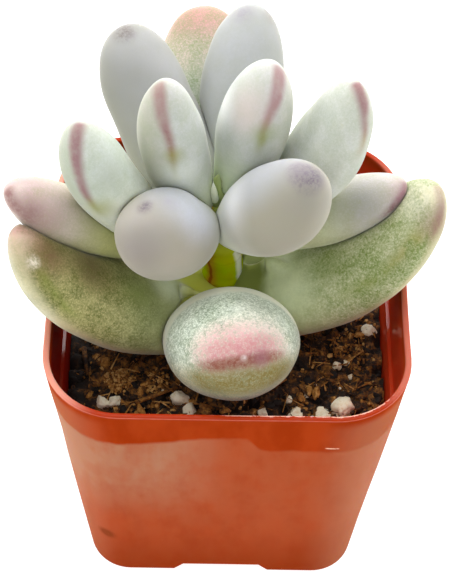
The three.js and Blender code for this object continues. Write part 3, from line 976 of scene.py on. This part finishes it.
@dataclass
class NurseryPot:
    """The square tapered pot: a thin glossy shell with round corners, a ledge inside and four drain channels."""

    top_half: float = 32.0
    base_half: float = 25.75
    height: float = 63.5
    top_corner: float = 13.5
    base_corner: float = 8.0
    rim: float = 1.1
    rim_edge: float = 0.3
    upper_wall: float = 1.0
    lower_wall: float = 1.8
    ledge: float = 52.5
    floor: float = 3.0
    foot: float = 0.8
    corner_steps: int = 14
    side_steps: int = 12
    channel: tuple[float, float, float] = (20.8, 9.0, 2.9)
    channel_slope: float = 3.0
    drain: tuple[float, float] = (2.6, 5.4)
    rim_levels: tuple[int, int] = (12, 21)

    def half(self, z: float) -> float:
        """Return half the outer width at a height."""
        return lerp(self.base_half, self.top_half, z / self.height)

    def outline(self, half: float, z: float) -> list[Vector]:
        """Lay points round a square with round corners.

        Args:
            half: Half its width.
            z: Its height.

        Returns:
            The points, anticlockwise, with the same count at every height.
        """
        outer = lerp(self.base_corner, self.top_corner, z / self.height)
        radius = max(outer - (self.half(z) - half), half * 0.3)
        inset = half - radius
        points = []
        for quarter in range(4):
            turn = Matrix.Rotation(quarter * RIGHT_ANGLE, 3, "Z")
            for step in range(self.side_steps):
                along = lerp(-inset, inset, step / self.side_steps)
                points.append(turn @ Vector((half, along, z)))
            for step in range(self.corner_steps):
                angle = step / self.corner_steps * RIGHT_ANGLE
                points.append(turn @ Vector((inset + radius * math.cos(angle), inset + radius * math.sin(angle), z)))
        return points

    def profile(self) -> list[tuple[float, float]]:
        """Return half widths and heights from the underside, over the rim, to the inner floor."""
        top = self.half(self.height - self.rim_edge)
        arc = [RIGHT_ANGLE * i / 4 for i in range(5)]
        edge = self.rim_edge
        outer = [(top - edge + edge * math.cos(a), self.height - edge + edge * math.sin(a)) for a in arc]
        inner = [(top - self.rim + edge - edge * math.sin(a), self.height - edge + edge * math.cos(a)) for a in arc]
        foot = [
            (self.half(self.foot) - self.foot + self.foot * math.sin(a), self.foot - self.foot * math.cos(a)) for a in arc
        ]
        rises = [(self.half(z), z) for z in (6, 14, 24, 34, 44, 52, 58)]
        return [
            *foot,
            *rises,
            *outer,
            *inner,
            (self.half(58) - self.upper_wall, 58),
            (self.half(self.ledge) - self.upper_wall, self.ledge + 0.25),
            (self.half(self.ledge) - self.upper_wall - 0.12, self.ledge),
            (self.half(self.ledge) - self.lower_wall + 0.12, self.ledge),
            (self.half(self.ledge) - self.lower_wall, self.ledge - 0.15),
            (self.half(30) - self.lower_wall, 30),
            (self.half(self.floor) - self.lower_wall, self.floor),
        ]

    def across_wall(self, level: int) -> float:
        """Return 0 on the outer wall, 1 on the inner one and a share across the rim between them."""
        first, last = self.rim_levels
        return min(1.0, max(0.0, lerp(0.3, 0.7, (level - first) / (last - first)))) if first <= level <= last else float(level > last)

    def shell(self) -> bmesh.types.BMesh:
        """Carry the square outline along the profile and close both ends."""
        mesh = bmesh.new()
        count = 4 * (self.corner_steps + self.side_steps)
        bmesh.ops.create_circle(mesh, cap_ends=True, segments=count, radius=1)
        order = mesh.verts.layers.int.new("order")
        wall = mesh.verts.layers.float.new("wall")
        for i, vert in enumerate(sorted(mesh.verts, key=lambda v: math.atan2(v.co.y, v.co.x))):
            vert[order] = i
        edges = list(mesh.edges)
        verts = list(mesh.verts)
        levels = self.profile()
        for number, (half, z) in enumerate(levels):
            points = self.outline(half, z)
            inside = self.across_wall(number)
            for vert in verts:
                vert.co = points[vert[order]]
                vert[wall] = inside
            if number < len(levels) - 1:
                made = bmesh.ops.extrude_edge_only(mesh, edges=edges)["geom"]
                verts = [g for g in made if isinstance(g, bmesh.types.BMVert)]
                fresh = set(verts)
                edges = [g for g in made if isinstance(g, bmesh.types.BMEdge) and set(g.verts) <= fresh]
        bmesh.ops.contextual_create(mesh, geom=edges)
        bmesh.ops.recalc_face_normals(mesh, faces=mesh.faces)
        self.weather(mesh)
        return mesh

    def weather(self, mesh: bmesh.types.BMesh) -> None:
        """Bow the thin walls a little, as moulded sheet does, and roughen the rim's inner edge at the front."""
        for vert in mesh.verts:
            x, y, z = vert.co
            outward = Vector((x, y, 0)).normalized()
            bow = noise.noise(Vector((x, y, z)) * 0.035) * 0.35 * min(1.0, z / 20)
            vert.co += outward * min(bow, 0.0)
            if z > self.height - self.rim_edge and y < -self.top_half + self.rim + 0.15 and x > -2:
                vert.co.z -= 0.12 * max(0.0, noise.noise(Vector((x * 0.9, 3, 0))))

    def cutters(self) -> list[bmesh.types.BMesh]:
        """Return the tools that open the channel and the drain hole at the middle of each side."""
        width, depth, high = self.channel
        radius, inset = self.drain
        tools = []
        for side in range(4):
            turn = Matrix.Rotation(side * RIGHT_ANGLE, 4, "Z")
            box = bmesh.new()
            bmesh.ops.create_cube(box, size=1)
            reach = depth + 2
            place = Matrix.Translation((0, self.base_half - depth + reach / 2, high / 2 - 0.5))
            box.transform(turn @ place @ Matrix.Diagonal((width, reach, high + 1, 1)))
            for vert in box.verts:
                if vert.co.z > high - 0.01:
                    across = (turn.inverted() @ vert.co).x
                    vert.co -= turn @ Vector((math.copysign(self.channel_slope, across), 0, 0))
            top = [e for e in box.edges if all(v.co.z > high - 0.01 for v in e.verts)]
            top = [e for e in top if abs((turn.inverted() @ (e.verts[1].co - e.verts[0].co)).y) > depth]
            bmesh.ops.bevel(box, geom=top, offset=1.0, segments=4, **MAKE)
            tools.append(box)
            hole = bmesh.new()
            place = Matrix.Translation((0, self.base_half - inset, 1))
            bmesh.ops.create_cone(hole, cap_ends=True, segments=40, radius1=radius, radius2=radius, depth=8)
            hole.transform(turn @ place)
            tools.append(hole)
        return tools

    def cut(self, piece: bpy.types.Object) -> None:
        """Open the channels and holes in the shell.

        Args:
            piece: The pot.
        """
        for number, tool in enumerate(self.cutters()):
            tool.transform(Matrix.Scale(MM, 4))
            data = bpy.data.meshes.new(f"pot_tool_{number}")
            tool.to_mesh(data)
            tool.free()
            knife = bpy.data.objects.new(data.name, data)
            bpy.context.scene.collection.objects.link(knife)
            made = piece.modifiers.new("opening", "BOOLEAN")
            made.operation = "DIFFERENCE"
            made.solver = "EXACT"
            made.object = knife
            graph = bpy.context.evaluated_depsgraph_get()
            whole = bpy.data.meshes.new_from_object(piece.evaluated_get(graph))
            piece.modifiers.clear()
            piece.data = whole
            bpy.data.objects.remove(knife)
        piece.data.set_sharp_from_angle(angle=math.radians(38))

    def build(self) -> bpy.types.Object:
        """Make the pot."""
        mesh = self.shell()
        mesh.transform(Matrix.Scale(MM, 4))
        made = Piece("pot_shell", "pot_plastic", ["pot"]).place(mesh, self.dress())
        self.cut(made)
        return made

    def dress(self) -> bpy.types.Material:
        """Mix the pot's finish: glossy terracotta-coloured plastic with painted reflections, highlights and shade."""
        sheet = ShaderSheet("pot_plastic")
        parts = sheet.node("ShaderNodeSeparateXYZ", None, {0: sheet.spot})
        x, y, z = (parts[axis] * (1 / MM) for axis in range(3))
        wall = sheet.node("ShaderNodeAttribute", {"attribute_name": "wall"})["Fac"]
        broad = sheet.clouds(26, 2, 0.3)
        patch = sheet.clouds(5, 4, 2.2, stretch=(1, 1, 2.6))
        streak = sheet.clouds(1.8, 3, 4.1, stretch=(1, 1, 9))
        fine = sheet.clouds(0.9, 4, 1.7)
        rim = wall.ramp(0.26, 0.34) * wall.ramp(0.74, 0.66)
        plastic = sheet.mix(paint("#a83c14"), paint("#9a320c"), patch.ramp(0.35, 0.65))
        # Darker towards the bottom: painted shade near the floor.
        plastic = sheet.mix(plastic, paint("#90300a"), z.ramp(22, 4) * 0.8)
        # The inner wall is painted dark on the left and bright red on the right: painted shade and painted light inside
        # the pot.
        inner = wall.ramp(0.72, 0.9)
        plastic = sheet.mix(plastic, sheet.mix(paint("#8a1a0c"), paint("#c83a1a"), x.ramp(-14, 26)), inner)
        plastic = sheet.mix(plastic, paint("#a23212"), rim)
        # Pale pink at the rim's left and right ends: painted highlights.
        plastic = sheet.mix(plastic, paint("#e8a08c"), rim * (x.ramp(-22, -30) * 0.9 + x.ramp(26, 31) * 0.3))
        # A broken pale line along the rim's outer top edge: painted highlight.
        plastic = sheet.mix(plastic, paint("#e08a74"), abs(wall - 0.35).ramp(0.05, 0.02) * (streak + 0.2).clamp() * 0.6)
        # A ragged pale line along the rim's inner edge at the front: painted highlight.
        ragged_edge_highlight = abs(wall - 0.56 + (fine - 0.5) * 0.1).ramp(0.05, 0.02) * y.ramp(-25, -30) * x.ramp(-4, 4)
        plastic = sheet.mix(plastic, paint("#f4c0ae"), ragged_edge_highlight * fine.ramp(0.4, 0.5))
        # Painted reflection of the floor on the outer wall: paler below a curved upper edge, paler still at the upper
        # left, with pale painted reflections on the round corners; the same mask roughens the surface.
        blotch = sheet.clouds(3.4, 3, 6.6, stretch=(1, 1, 1.7))
        crest = x.ramp(-18, -1) * x.ramp(6.2, 3.2) * 3.2 - x.ramp(3, 8) * 1.8 + 54.0
        edge = z - crest + (broad - 0.5) * 2.4 + (streak - 0.5) * 1.2
        outer = wall.ramp(0.28, 0.1)
        painted_reflection = edge.ramp(0.5, -1.0) * z.ramp(-14, 40) * (blotch.ramp(0.3, 0.62) * 0.34 + streak * 0.5 + 0.36) * outer
        painted_pale_reflection = painted_reflection * x.ramp(2, -12) * z.ramp(20, 48) * 0.95 + abs(x + 2).ramp(17, 28) * outer * 0.54
        skin = sheet.mix(plastic, paint("#ac5228"), painted_reflection.clamp() * 0.75)
        skin = sheet.mix(skin, paint("#ac7456"), painted_pale_reflection.clamp() * 0.95)
        skin = sheet.mix(skin, paint("#84360f"), sheet.near((-22.0, -26.2, 15.0), 2.6) * fine.ramp(0.3, 0.45) * 1.5)
        # A short pale dash on the front wall: painted glint.
        painted_glint = abs(z - 54 + x * 0.03).ramp(0.28, 0.08) * abs(x - 18.4).ramp(1.4, 0.8) * fine.ramp(0.35, 0.5)
        skin = sheet.mix(skin, paint("#f0b89c"), painted_glint)
        relief = sheet.bump(broad, 0.2, 0.4)
        relief = sheet.bump(streak + fine * 0.3, 0.08, 0.12, relief)
        return sheet.finish(
            {
                "Base Color": skin,
                "Roughness": (fine * 0.1 + painted_reflection * 0.1 + 0.18).clamp(),
                "Normal": relief,
                "Specular IOR Level": 0.0,
                "Coat Weight": (painted_reflection * 0.12 + inner * 0.6 + rim * 0.08).clamp(),
                "Coat Roughness": 0.1,
                "Subsurface Weight": 0.25,
                "Subsurface Radius": (1.0, 0.2, 0.05),
                "Subsurface Scale": 2.0 * MM,
            }
        )


@dataclass(frozen=True)
class MixLump:
    """A lump in the potting mix: its place, its size and its shade from dark to pale."""

    x: float
    y: float
    size: float
    shade: float = 0.5


@dataclass(frozen=True)
class LumpForm:
    """How a kind of lump is shaped: its share of the size along each axis, how many flat sides it is broken
    to, how rough they are, how high its middle lies in its own size and how finely it is divided."""

    axes: tuple[float, float, float]
    facets: int
    rough: float
    lift: float
    detail: int


@dataclass(frozen=True)
class Clump:
    """A heap of small crumbs: its middle, its radius, how high it is piled, their count and their shade."""

    x: float
    y: float
    radius: float
    pile: float
    count: int
    shade: float


GRAIN = LumpForm((1.0, 0.85, 0.8), 11, 0.16, 0.02, 4)
SMALL_GRAIN = LumpForm((1.0, 0.8, 0.8), 8, 0.2, 0.05, 2)
CHIP = LumpForm((1.2, 0.62, 0.5), 9, 0.3, 0.12, 3)
PUMICE = (
    MixLump(-22, -19.6, 3.4), MixLump(-19.8, -19.2, 3.0), MixLump(-8.2, -18.0, 3.8), MixLump(-6.4, -20.4, 3.2),
    MixLump(20.9, -20, 4.8), MixLump(17.2, -21.4, 3.6), MixLump(12.4, -20.8, 3.4), MixLump(6.6, -21, 2.6),
    MixLump(26.3, -2.4, 3.2), MixLump(20.2, -10, 2.2), MixLump(21.8, -9.2, 1.5), MixLump(22.6, -12.4, 1.2),
    MixLump(11.4, -17.6, 1.6), MixLump(15.2, -21.8, 1.8),
)
CHIPS = (
    MixLump(16.2, -16.6, 2.5, 0.75), MixLump(13.4, -17.2, 2.2, 0.65), MixLump(-3.6, -20.8, 3.0, 0.6),
    MixLump(24.4, -17.2, 2.0, 0.45), MixLump(-15.2, -20.9, 2.6, 0.6), MixLump(18.4, -12.2, 2.4, 0.55),
)
CLUMPS = (
    Clump(-19.2, -14.6, 3.0, 1.8, 280, 0.8), Clump(-12.4, -14.6, 2.4, 0.9, 90, 0.72),
    Clump(22.5, -5.5, 3.4, 0.9, 120, 0.75), Clump(16.5, -8.5, 2.4, 0.8, 50, 0.5), Clump(24.5, -9.5, 2.6, 0.9, 60, 0.55),
)
TWIGS = (
    ((-16.1, -19.6), (-8.8, -16), 0.42),
    ((-26, -7.8), (-25, -14), 0.5),
)


@dataclass
class PottingMix:
    """The dark mix of peat, bark and pumice, with its loose crumbs and fibres."""

    level: float = 49.0
    wave: float = 0.45
    wave_number: float = 0.3
    half: float = 28.45
    corner: float = 9.6
    depth: float = 20.0
    cells: int = 110
    crumbs: int = 2600
    fibres: int = 620
    seed: int = 2718

    def height(self, x: float, y: float) -> float:
        """Return the height of the mix at a place."""
        a, b = self.wave_number * x, self.wave_number * y
        return self.level + self.wave * (math.cos(a) * math.cos(b) + math.sin(a + b) / 2)

    def inside(self, x: float, y: float, margin: float) -> bool:
        """Tell whether a place keeps a margin to the pot's wall."""
        half, inset = self.half - margin, self.half - self.corner
        if max(abs(x), abs(y)) > half:
            return False
        past = Vector((max(abs(x) - inset, 0), max(abs(y) - inset, 0)))
        return past.length < self.corner - margin

    def bed(self) -> bpy.types.Object:
        """Make the bed: a rough sheet pressed into the pot's round square, with its sides and base."""
        mesh = bmesh.new()
        bmesh.ops.create_grid(mesh, x_segments=self.cells, y_segments=self.cells, size=1)
        shade = mesh.verts.layers.float.new("shade")
        inset = self.half - self.corner
        for vert in mesh.verts:
            x, y = vert.co.x * self.half, vert.co.y * self.half
            past = Vector((max(abs(x) - inset, 0), max(abs(y) - inset, 0)))
            if past.length > 0:
                longest = max(past.x, past.y)
                scale = longest / past.length
                x = math.copysign(min(abs(x), inset) + past.x * scale, x)
                y = math.copysign(min(abs(y), inset) + past.y * scale, y)
            spot = Vector((x, y, 0))
            rough = noise.fractal(spot * 0.55, 0.8, 2.1, 4) * 1.2
            pits = max(0.0, noise.noise(spot * 0.33 + Vector((5, 0, 2))) - 0.08) * 4.5
            vert.co = (x, y, self.height(x, y) + rough - pits)
            # Darker in the pits: painted shade.
            vert[shade] = 0.42 + 0.35 * noise.noise(spot * 0.8) - 0.15 * pits
        rim = [e for e in mesh.edges if e.is_boundary]
        made = bmesh.ops.extrude_edge_only(mesh, edges=rim)["geom"]
        lowered = {g for g in made if isinstance(g, bmesh.types.BMVert)}
        for vert in lowered:
            vert.co = (vert.co.x * 0.95, vert.co.y * 0.95, self.level - self.depth)
        base = [g for g in made if isinstance(g, bmesh.types.BMEdge) and set(g.verts) <= lowered]
        bmesh.ops.contextual_create(mesh, geom=base)
        bmesh.ops.recalc_face_normals(mesh, faces=mesh.faces)
        mesh.transform(Matrix.Scale(MM, 4))
        return Piece("potting_mix_bed", "potting_mix", ["potting_mix"]).place(mesh, self.earth("mix_earth"))

    def lump(self, mesh: bmesh.types.BMesh, lump: MixLump, form: LumpForm, rng: random.Random, pile: float = 0.0) -> None:
        """Add a broken lump that lies partly sunk in the mix.

        Args:
            mesh: The mesh it joins.
            lump: Where and how large it is.
            form: How it is shaped.
            rng: The draws for its turn, its flat sides and its dents.
            pile: How far above the mix it lies.
        """
        made = bmesh.ops.create_icosphere(mesh, subdivisions=form.detail, radius=lump.size / 2)["verts"]
        shade = mesh.verts.layers.float["shade"]
        turn = Matrix.Rotation(rng.uniform(0, 2 * math.pi), 4, "Z") @ Matrix.Rotation(rng.uniform(-0.6, 0.6), 4, "X")
        seed = Vector((rng.uniform(0, 90), rng.uniform(0, 90), rng.uniform(0, 90)))
        middle = Vector((lump.x, lump.y, self.height(lump.x, lump.y) + lump.size * form.lift + pile))
        sides = [
            (Vector((rng.gauss(0, 1), rng.gauss(0, 1), rng.gauss(0, 1))).normalized(), rng.uniform(0.6, 0.92))
            for _ in range(form.facets)
        ]
        for vert in made:
            toward = vert.co.normalized()
            reach = min([1.0, *(depth / max(toward.dot(side), 0.1) for side, depth in sides)])
            dent = noise.noise(vert.co * (2.6 / lump.size) + seed) + noise.noise(vert.co * (8 / lump.size) + seed) / 2
            vert.co = turn @ (vert.co * Vector(form.axes) * (reach + form.rough * dent)) + middle
            vert[shade] = lump.shade

    def scatter(self) -> list[bpy.types.Object]:
        """Strew the crumbs, the bark, the pumice and the fibres over the bed."""
        rng = random.Random(self.seed)
        crumbs, bark, pumice = (bmesh.new() for _ in range(3))
        for mesh in (crumbs, bark, pumice):
            mesh.verts.layers.float.new("shade")
        for _ in range(self.crumbs):
            x, y = rng.uniform(-28, 28), rng.uniform(-28, 28)
            size = rng.uniform(0.4, 1.2) if rng.random() < 0.85 else rng.uniform(1.2, 2.4)
            shade = rng.uniform(0.0, 0.5) if rng.random() < 0.75 else rng.uniform(0.5, 0.9)
            if self.inside(x, y, size / 2) and math.hypot(x, y - 2) > 6:
                form = LumpForm((1, rng.uniform(0.4, 0.9), rng.uniform(0.4, 0.8)), 5, 0.3, 0.05, 2 if size > 1.9 else 1)
                self.lump(crumbs, MixLump(x, y, size, shade), form, rng)
        for clump in CLUMPS:
            for _ in range(clump.count):
                away, turn = rng.random() ** 0.6, rng.uniform(0, 2 * math.pi)
                x = clump.x + clump.radius * away * math.cos(turn)
                y = clump.y + clump.radius * away * math.sin(turn)
                spot = MixLump(x, y, rng.uniform(0.4, 1.0), clump.shade + rng.uniform(-0.3, 0.15))
                form = LumpForm((1, rng.uniform(0.5, 0.9), rng.uniform(0.5, 0.9)), 5, 0.3, 0.05, 1)
                if self.inside(x, y, 0.6):
                    self.lump(crumbs, spot, form, rng, clump.pile * (1 - away) * rng.random())
        for spot in CHIPS:
            self.lump(bark, spot, CHIP, rng)
        for spot in PUMICE:
            self.lump(pumice, MixLump(spot.x, spot.y, spot.size, 0.6), GRAIN, rng)
        for _ in range(45):
            x, y = rng.uniform(-27, 27), rng.uniform(-27, 27)
            size = rng.uniform(0.4, 1.2)
            if self.inside(x, y, size):
                self.lump(pumice, MixLump(x, y, size, rng.uniform(0.2, 0.7)), SMALL_GRAIN, rng)
        made = []
        for name, mesh, dress in (
            ("mix_crumbs", crumbs, self.earth("crumb_earth")),
            ("bark_chips", bark, self.earth("bark_brown")),
            ("pumice_grains", pumice, self.stone()),
        ):
            mesh.transform(Matrix.Scale(MM, 4))
            made.append(Piece(name, "potting_mix").place(mesh, dress))
        made.append(self.fibre_piece(rng))
        return made

    def fibre_piece(self, rng: random.Random) -> bpy.types.Object:
        """Lay the twigs and the fine fibres, each a thin tapered rod.

        Args:
            rng: The draws for the fibres.

        Returns:
            The piece.
        """
        mesh = bmesh.new()
        shade = mesh.verts.layers.float.new("shade")
        rods = [(Vector(a), Vector(b), radius, 0.6) for a, b, radius in TWIGS]
        for _ in range(self.fibres):
            start = Vector((rng.uniform(-27, 27), rng.uniform(-27, 27)))
            turn = rng.uniform(0, 2 * math.pi)
            end = start + Vector((math.cos(turn), math.sin(turn))) * rng.uniform(1.0, 4.5)
            clear = all(self.inside(p.x, p.y, 0.6) and math.hypot(p.x, p.y - 2) > 5.5 for p in (start, end))
            radius, tone = rng.uniform(0.07, 0.2), rng.uniform(0.25, 0.85)
            if clear:
                rods.append((start, end, radius, tone))
        for start, end, radius, tone in rods:
            low = Vector((start.x, start.y, self.height(*start) + radius + 0.2))
            high = Vector((end.x, end.y, self.height(*end) + radius + rng.uniform(0.2, 1.1)))
            along = high - low
            rod = bmesh.ops.create_cone(
                mesh, cap_ends=True, segments=7, radius1=radius, radius2=radius * 0.55, depth=along.length
            )["verts"]
            place = Matrix.Translation((low + high) / 2) @ along.to_track_quat("Z", "Y").to_matrix().to_4x4()
            bmesh.ops.transform(mesh, matrix=place, verts=rod)
            for vert in rod:
                vert[shade] = tone
        mesh.transform(Matrix.Scale(MM, 4))
        return Piece("twigs_and_fibres", "potting_mix").place(mesh, self.earth("fibre_tan"))

    @staticmethod
    def earth(name: str) -> bpy.types.Material:
        """Mix the finish of peat, bark and fibre: damp near-black to dry tan, as each lump's shade says.

        Args:
            name: The material's name.

        Returns:
            The material.
        """
        sheet = ShaderSheet(name)
        shade = sheet.node("ShaderNodeAttribute", {"attribute_name": "shade"})["Fac"]
        fine = sheet.clouds(0.5, 4, 0.4, 0.65)
        coarse = sheet.clouds(2.4, 3, 3.1)
        x = sheet.node("ShaderNodeSeparateXYZ", None, {0: sheet.spot})[0] * (1 / MM)
        # Paler towards the left, and darker near the left wall: painted shade where the mix meets the wall.
        tone = shade + (fine - 0.5) * 1.0 + (coarse - 0.5) * 0.6 + x.ramp(-6, -18) * 0.08 - x.ramp(-20, -27) * 0.25
        stops = [
            (0.2, paint("#120903")),
            (0.38, paint("#2f1c09")),
            (0.55, paint("#80521c")),
            (0.72, paint("#b47a30")),
            (0.95, paint("#dcae68")),
        ]
        skin = sheet.node("ShaderNodeValToRGB", {"stops": stops}, {0: tone.clamp()})[0]
        relief = sheet.bump(fine, 0.9, 0.35, sheet.bump(coarse, 0.6, 0.6))
        return sheet.finish({"Base Color": skin, "Roughness": (fine * 0.3 + 0.62).clamp(), "Normal": relief})

    @staticmethod
    def stone() -> bpy.types.Material:
        """Mix the finish of pumice: off-white, pitted, dusted with peat."""
        sheet = ShaderSheet("pumice_white")
        fine = sheet.clouds(0.6, 4, 0.9, 0.65)
        pores = sheet.grains(0.55, 0.2)
        coarse = sheet.clouds(2.0, 2, 5.0)
        skin = sheet.mix(paint("#fffae0"), paint("#eedcae"), fine.ramp(0.45, 0.75))
        skin = sheet.mix(skin, paint("#a08a64"), pores.ramp(0.2, 0.05) * 0.35)
        skin = sheet.mix(skin, paint("#b08c54"), coarse.ramp(0.58, 0.75) * 0.6)
        relief = sheet.bump(pores, 0.25, 0.2, sheet.bump(fine, 0.4, 0.2))
        return sheet.finish({"Base Color": skin, "Roughness": 0.85, "Normal": relief})


@dataclass(frozen=True)
class Lamp:
    """A soft round lamp: its compass direction and height above the floor in degrees, and its strength."""

    name: str
    compass: float
    rise: float
    watts: float
    away: float = 0.7
    size: float = 0.5

    def hang(self, aim: Vector) -> None:
        """Hang the lamp and point it at a place.

        Args:
            aim: The place, in metres.
        """
        light = bpy.data.lights.new(self.name, "AREA")
        light.shape = "DISK"
        light.size = self.size
        light.energy = self.watts
        made = bpy.data.objects.new(self.name, light)
        turn, rise = math.radians(self.compass), math.radians(self.rise)
        toward = Vector((math.cos(turn) * math.cos(rise), math.sin(turn) * math.cos(rise), math.sin(rise)))
        made.location = aim + toward * self.away
        made.rotation_euler = (-toward).to_track_quat("-Z", "Y").to_euler()
        bpy.context.scene.collection.objects.link(made)


@dataclass
class Studio:
    """The pale floor, the soft lights and the camera."""

    azimuth: float = -1.163
    elevation: float = 52.398
    distance: float = 324.714
    target: tuple[float, float, float] = (-0.6, 0.0, 58.621)
    roll: float = 1.964
    focal_px: float = 1791.47
    frame_px: tuple[int, int] = (449, 574)
    sensor: float = 36.0
    lamps: tuple[Lamp, ...] = (
        Lamp("back_window", 90, 56, 3.5),
        Lamp("low_back_window", 90, 12, 2.0),
        Lamp("left_card", 180, 25, 1.8),
        Lamp("right_card", 0, 25, 1.3),
        Lamp("ceiling", 0, 89, 0.8),
        Lamp("front_card", -90, 52, 0.8),
        Lamp("low_front_card", -90, 12, 0.2),
    )
    room: float = 0.9
    room_front: float = 0.25

    def back(self) -> Vector:
        """Return the direction from the plant to the camera."""
        a, e = math.radians(self.azimuth), math.radians(self.elevation)
        return Vector((math.sin(a) * math.cos(e), -math.cos(a) * math.cos(e), math.sin(e)))

    def camera(self) -> None:
        """Stand the camera where the picture was taken from."""
        back = self.back()
        right = (-back).cross(Vector((0, 0, 1))).normalized()
        up = right.cross(-back)
        turn = math.radians(self.roll)
        right, up = right * math.cos(turn) + up * math.sin(turn), up * math.cos(turn) - right * math.sin(turn)
        lens = bpy.data.cameras.new("picture_camera")
        lens.sensor_fit = "AUTO"
        lens.sensor_width = self.sensor
        lens.lens = self.focal_px / max(self.frame_px) * self.sensor
        lens.clip_start, lens.clip_end = 0.01, 20
        made = bpy.data.objects.new("picture_camera", lens)
        place = Matrix((right, up, back)).transposed().to_4x4()
        place.translation = (Vector(self.target) + back * self.distance) * MM
        made.matrix_world = place
        bpy.context.scene.collection.objects.link(made)
        bpy.context.scene.camera = made

    def floor(self) -> None:
        """Lay the pale floor."""
        mesh = bmesh.new()
        bmesh.ops.create_grid(mesh, x_segments=8, y_segments=8, size=3)
        data = bpy.data.meshes.new("studio_floor")
        mesh.to_mesh(data)
        mesh.free()
        sheet = ShaderSheet("floor_white")
        data.materials.append(sheet.finish({"Base Color": paint("#a4a4a4"), "Roughness": 0.8, "Emission Color": paint("#ffffff"), "Emission Strength": 0.9}))
        made = bpy.data.objects.new("studio_floor", data)
        bpy.context.scene.collection.objects.link(made)

    def lights(self) -> None:
        """Hang the soft lights and fill the room with pale light."""
        for lamp in self.lamps:
            lamp.hang(Vector((0, 0, 60)) * MM)
        world = bpy.data.worlds.new("studio_room")
        world.use_nodes = True
        sheet = NodeSheet(world.node_tree)
        toward = sheet.node("ShaderNodeTexCoord")["Generated"]
        inputs = {0: toward, 1: tuple(self.back())}
        facing = sheet.node("ShaderNodeVectorMath", {"operation": "DOT_PRODUCT"}, inputs)["Value"]
        strength = facing.ramp(0.95, 0.4) * (self.room - self.room_front) + self.room_front
        glow = sheet.node("ShaderNodeBackground", None, {"Color": paint("#fdfdff"), "Strength": strength})
        sheet.node("ShaderNodeOutputWorld", None, {"Surface": glow[0]})
        bpy.context.scene.world = world
        bpy.context.scene.view_settings.view_transform = "Standard"

    def build(self) -> None:
        """Set up the whole studio."""
        self.camera()
        self.floor()
        self.lights()


def main() -> None:
    """Build the studio and the plant, piece by piece."""
    logging.basicConfig(level=logging.INFO, format="%(name)s %(message)s")
    Studio().build()
    NurseryPot().build()
    mix = PottingMix()
    mix.bed()
    mix.scatter()
    Stem().build()
    surfaces: list[BVHTree] = []
    for leaf in LEAVES:
        leaf.build(surfaces)


if __name__ == "__main__":
    main()
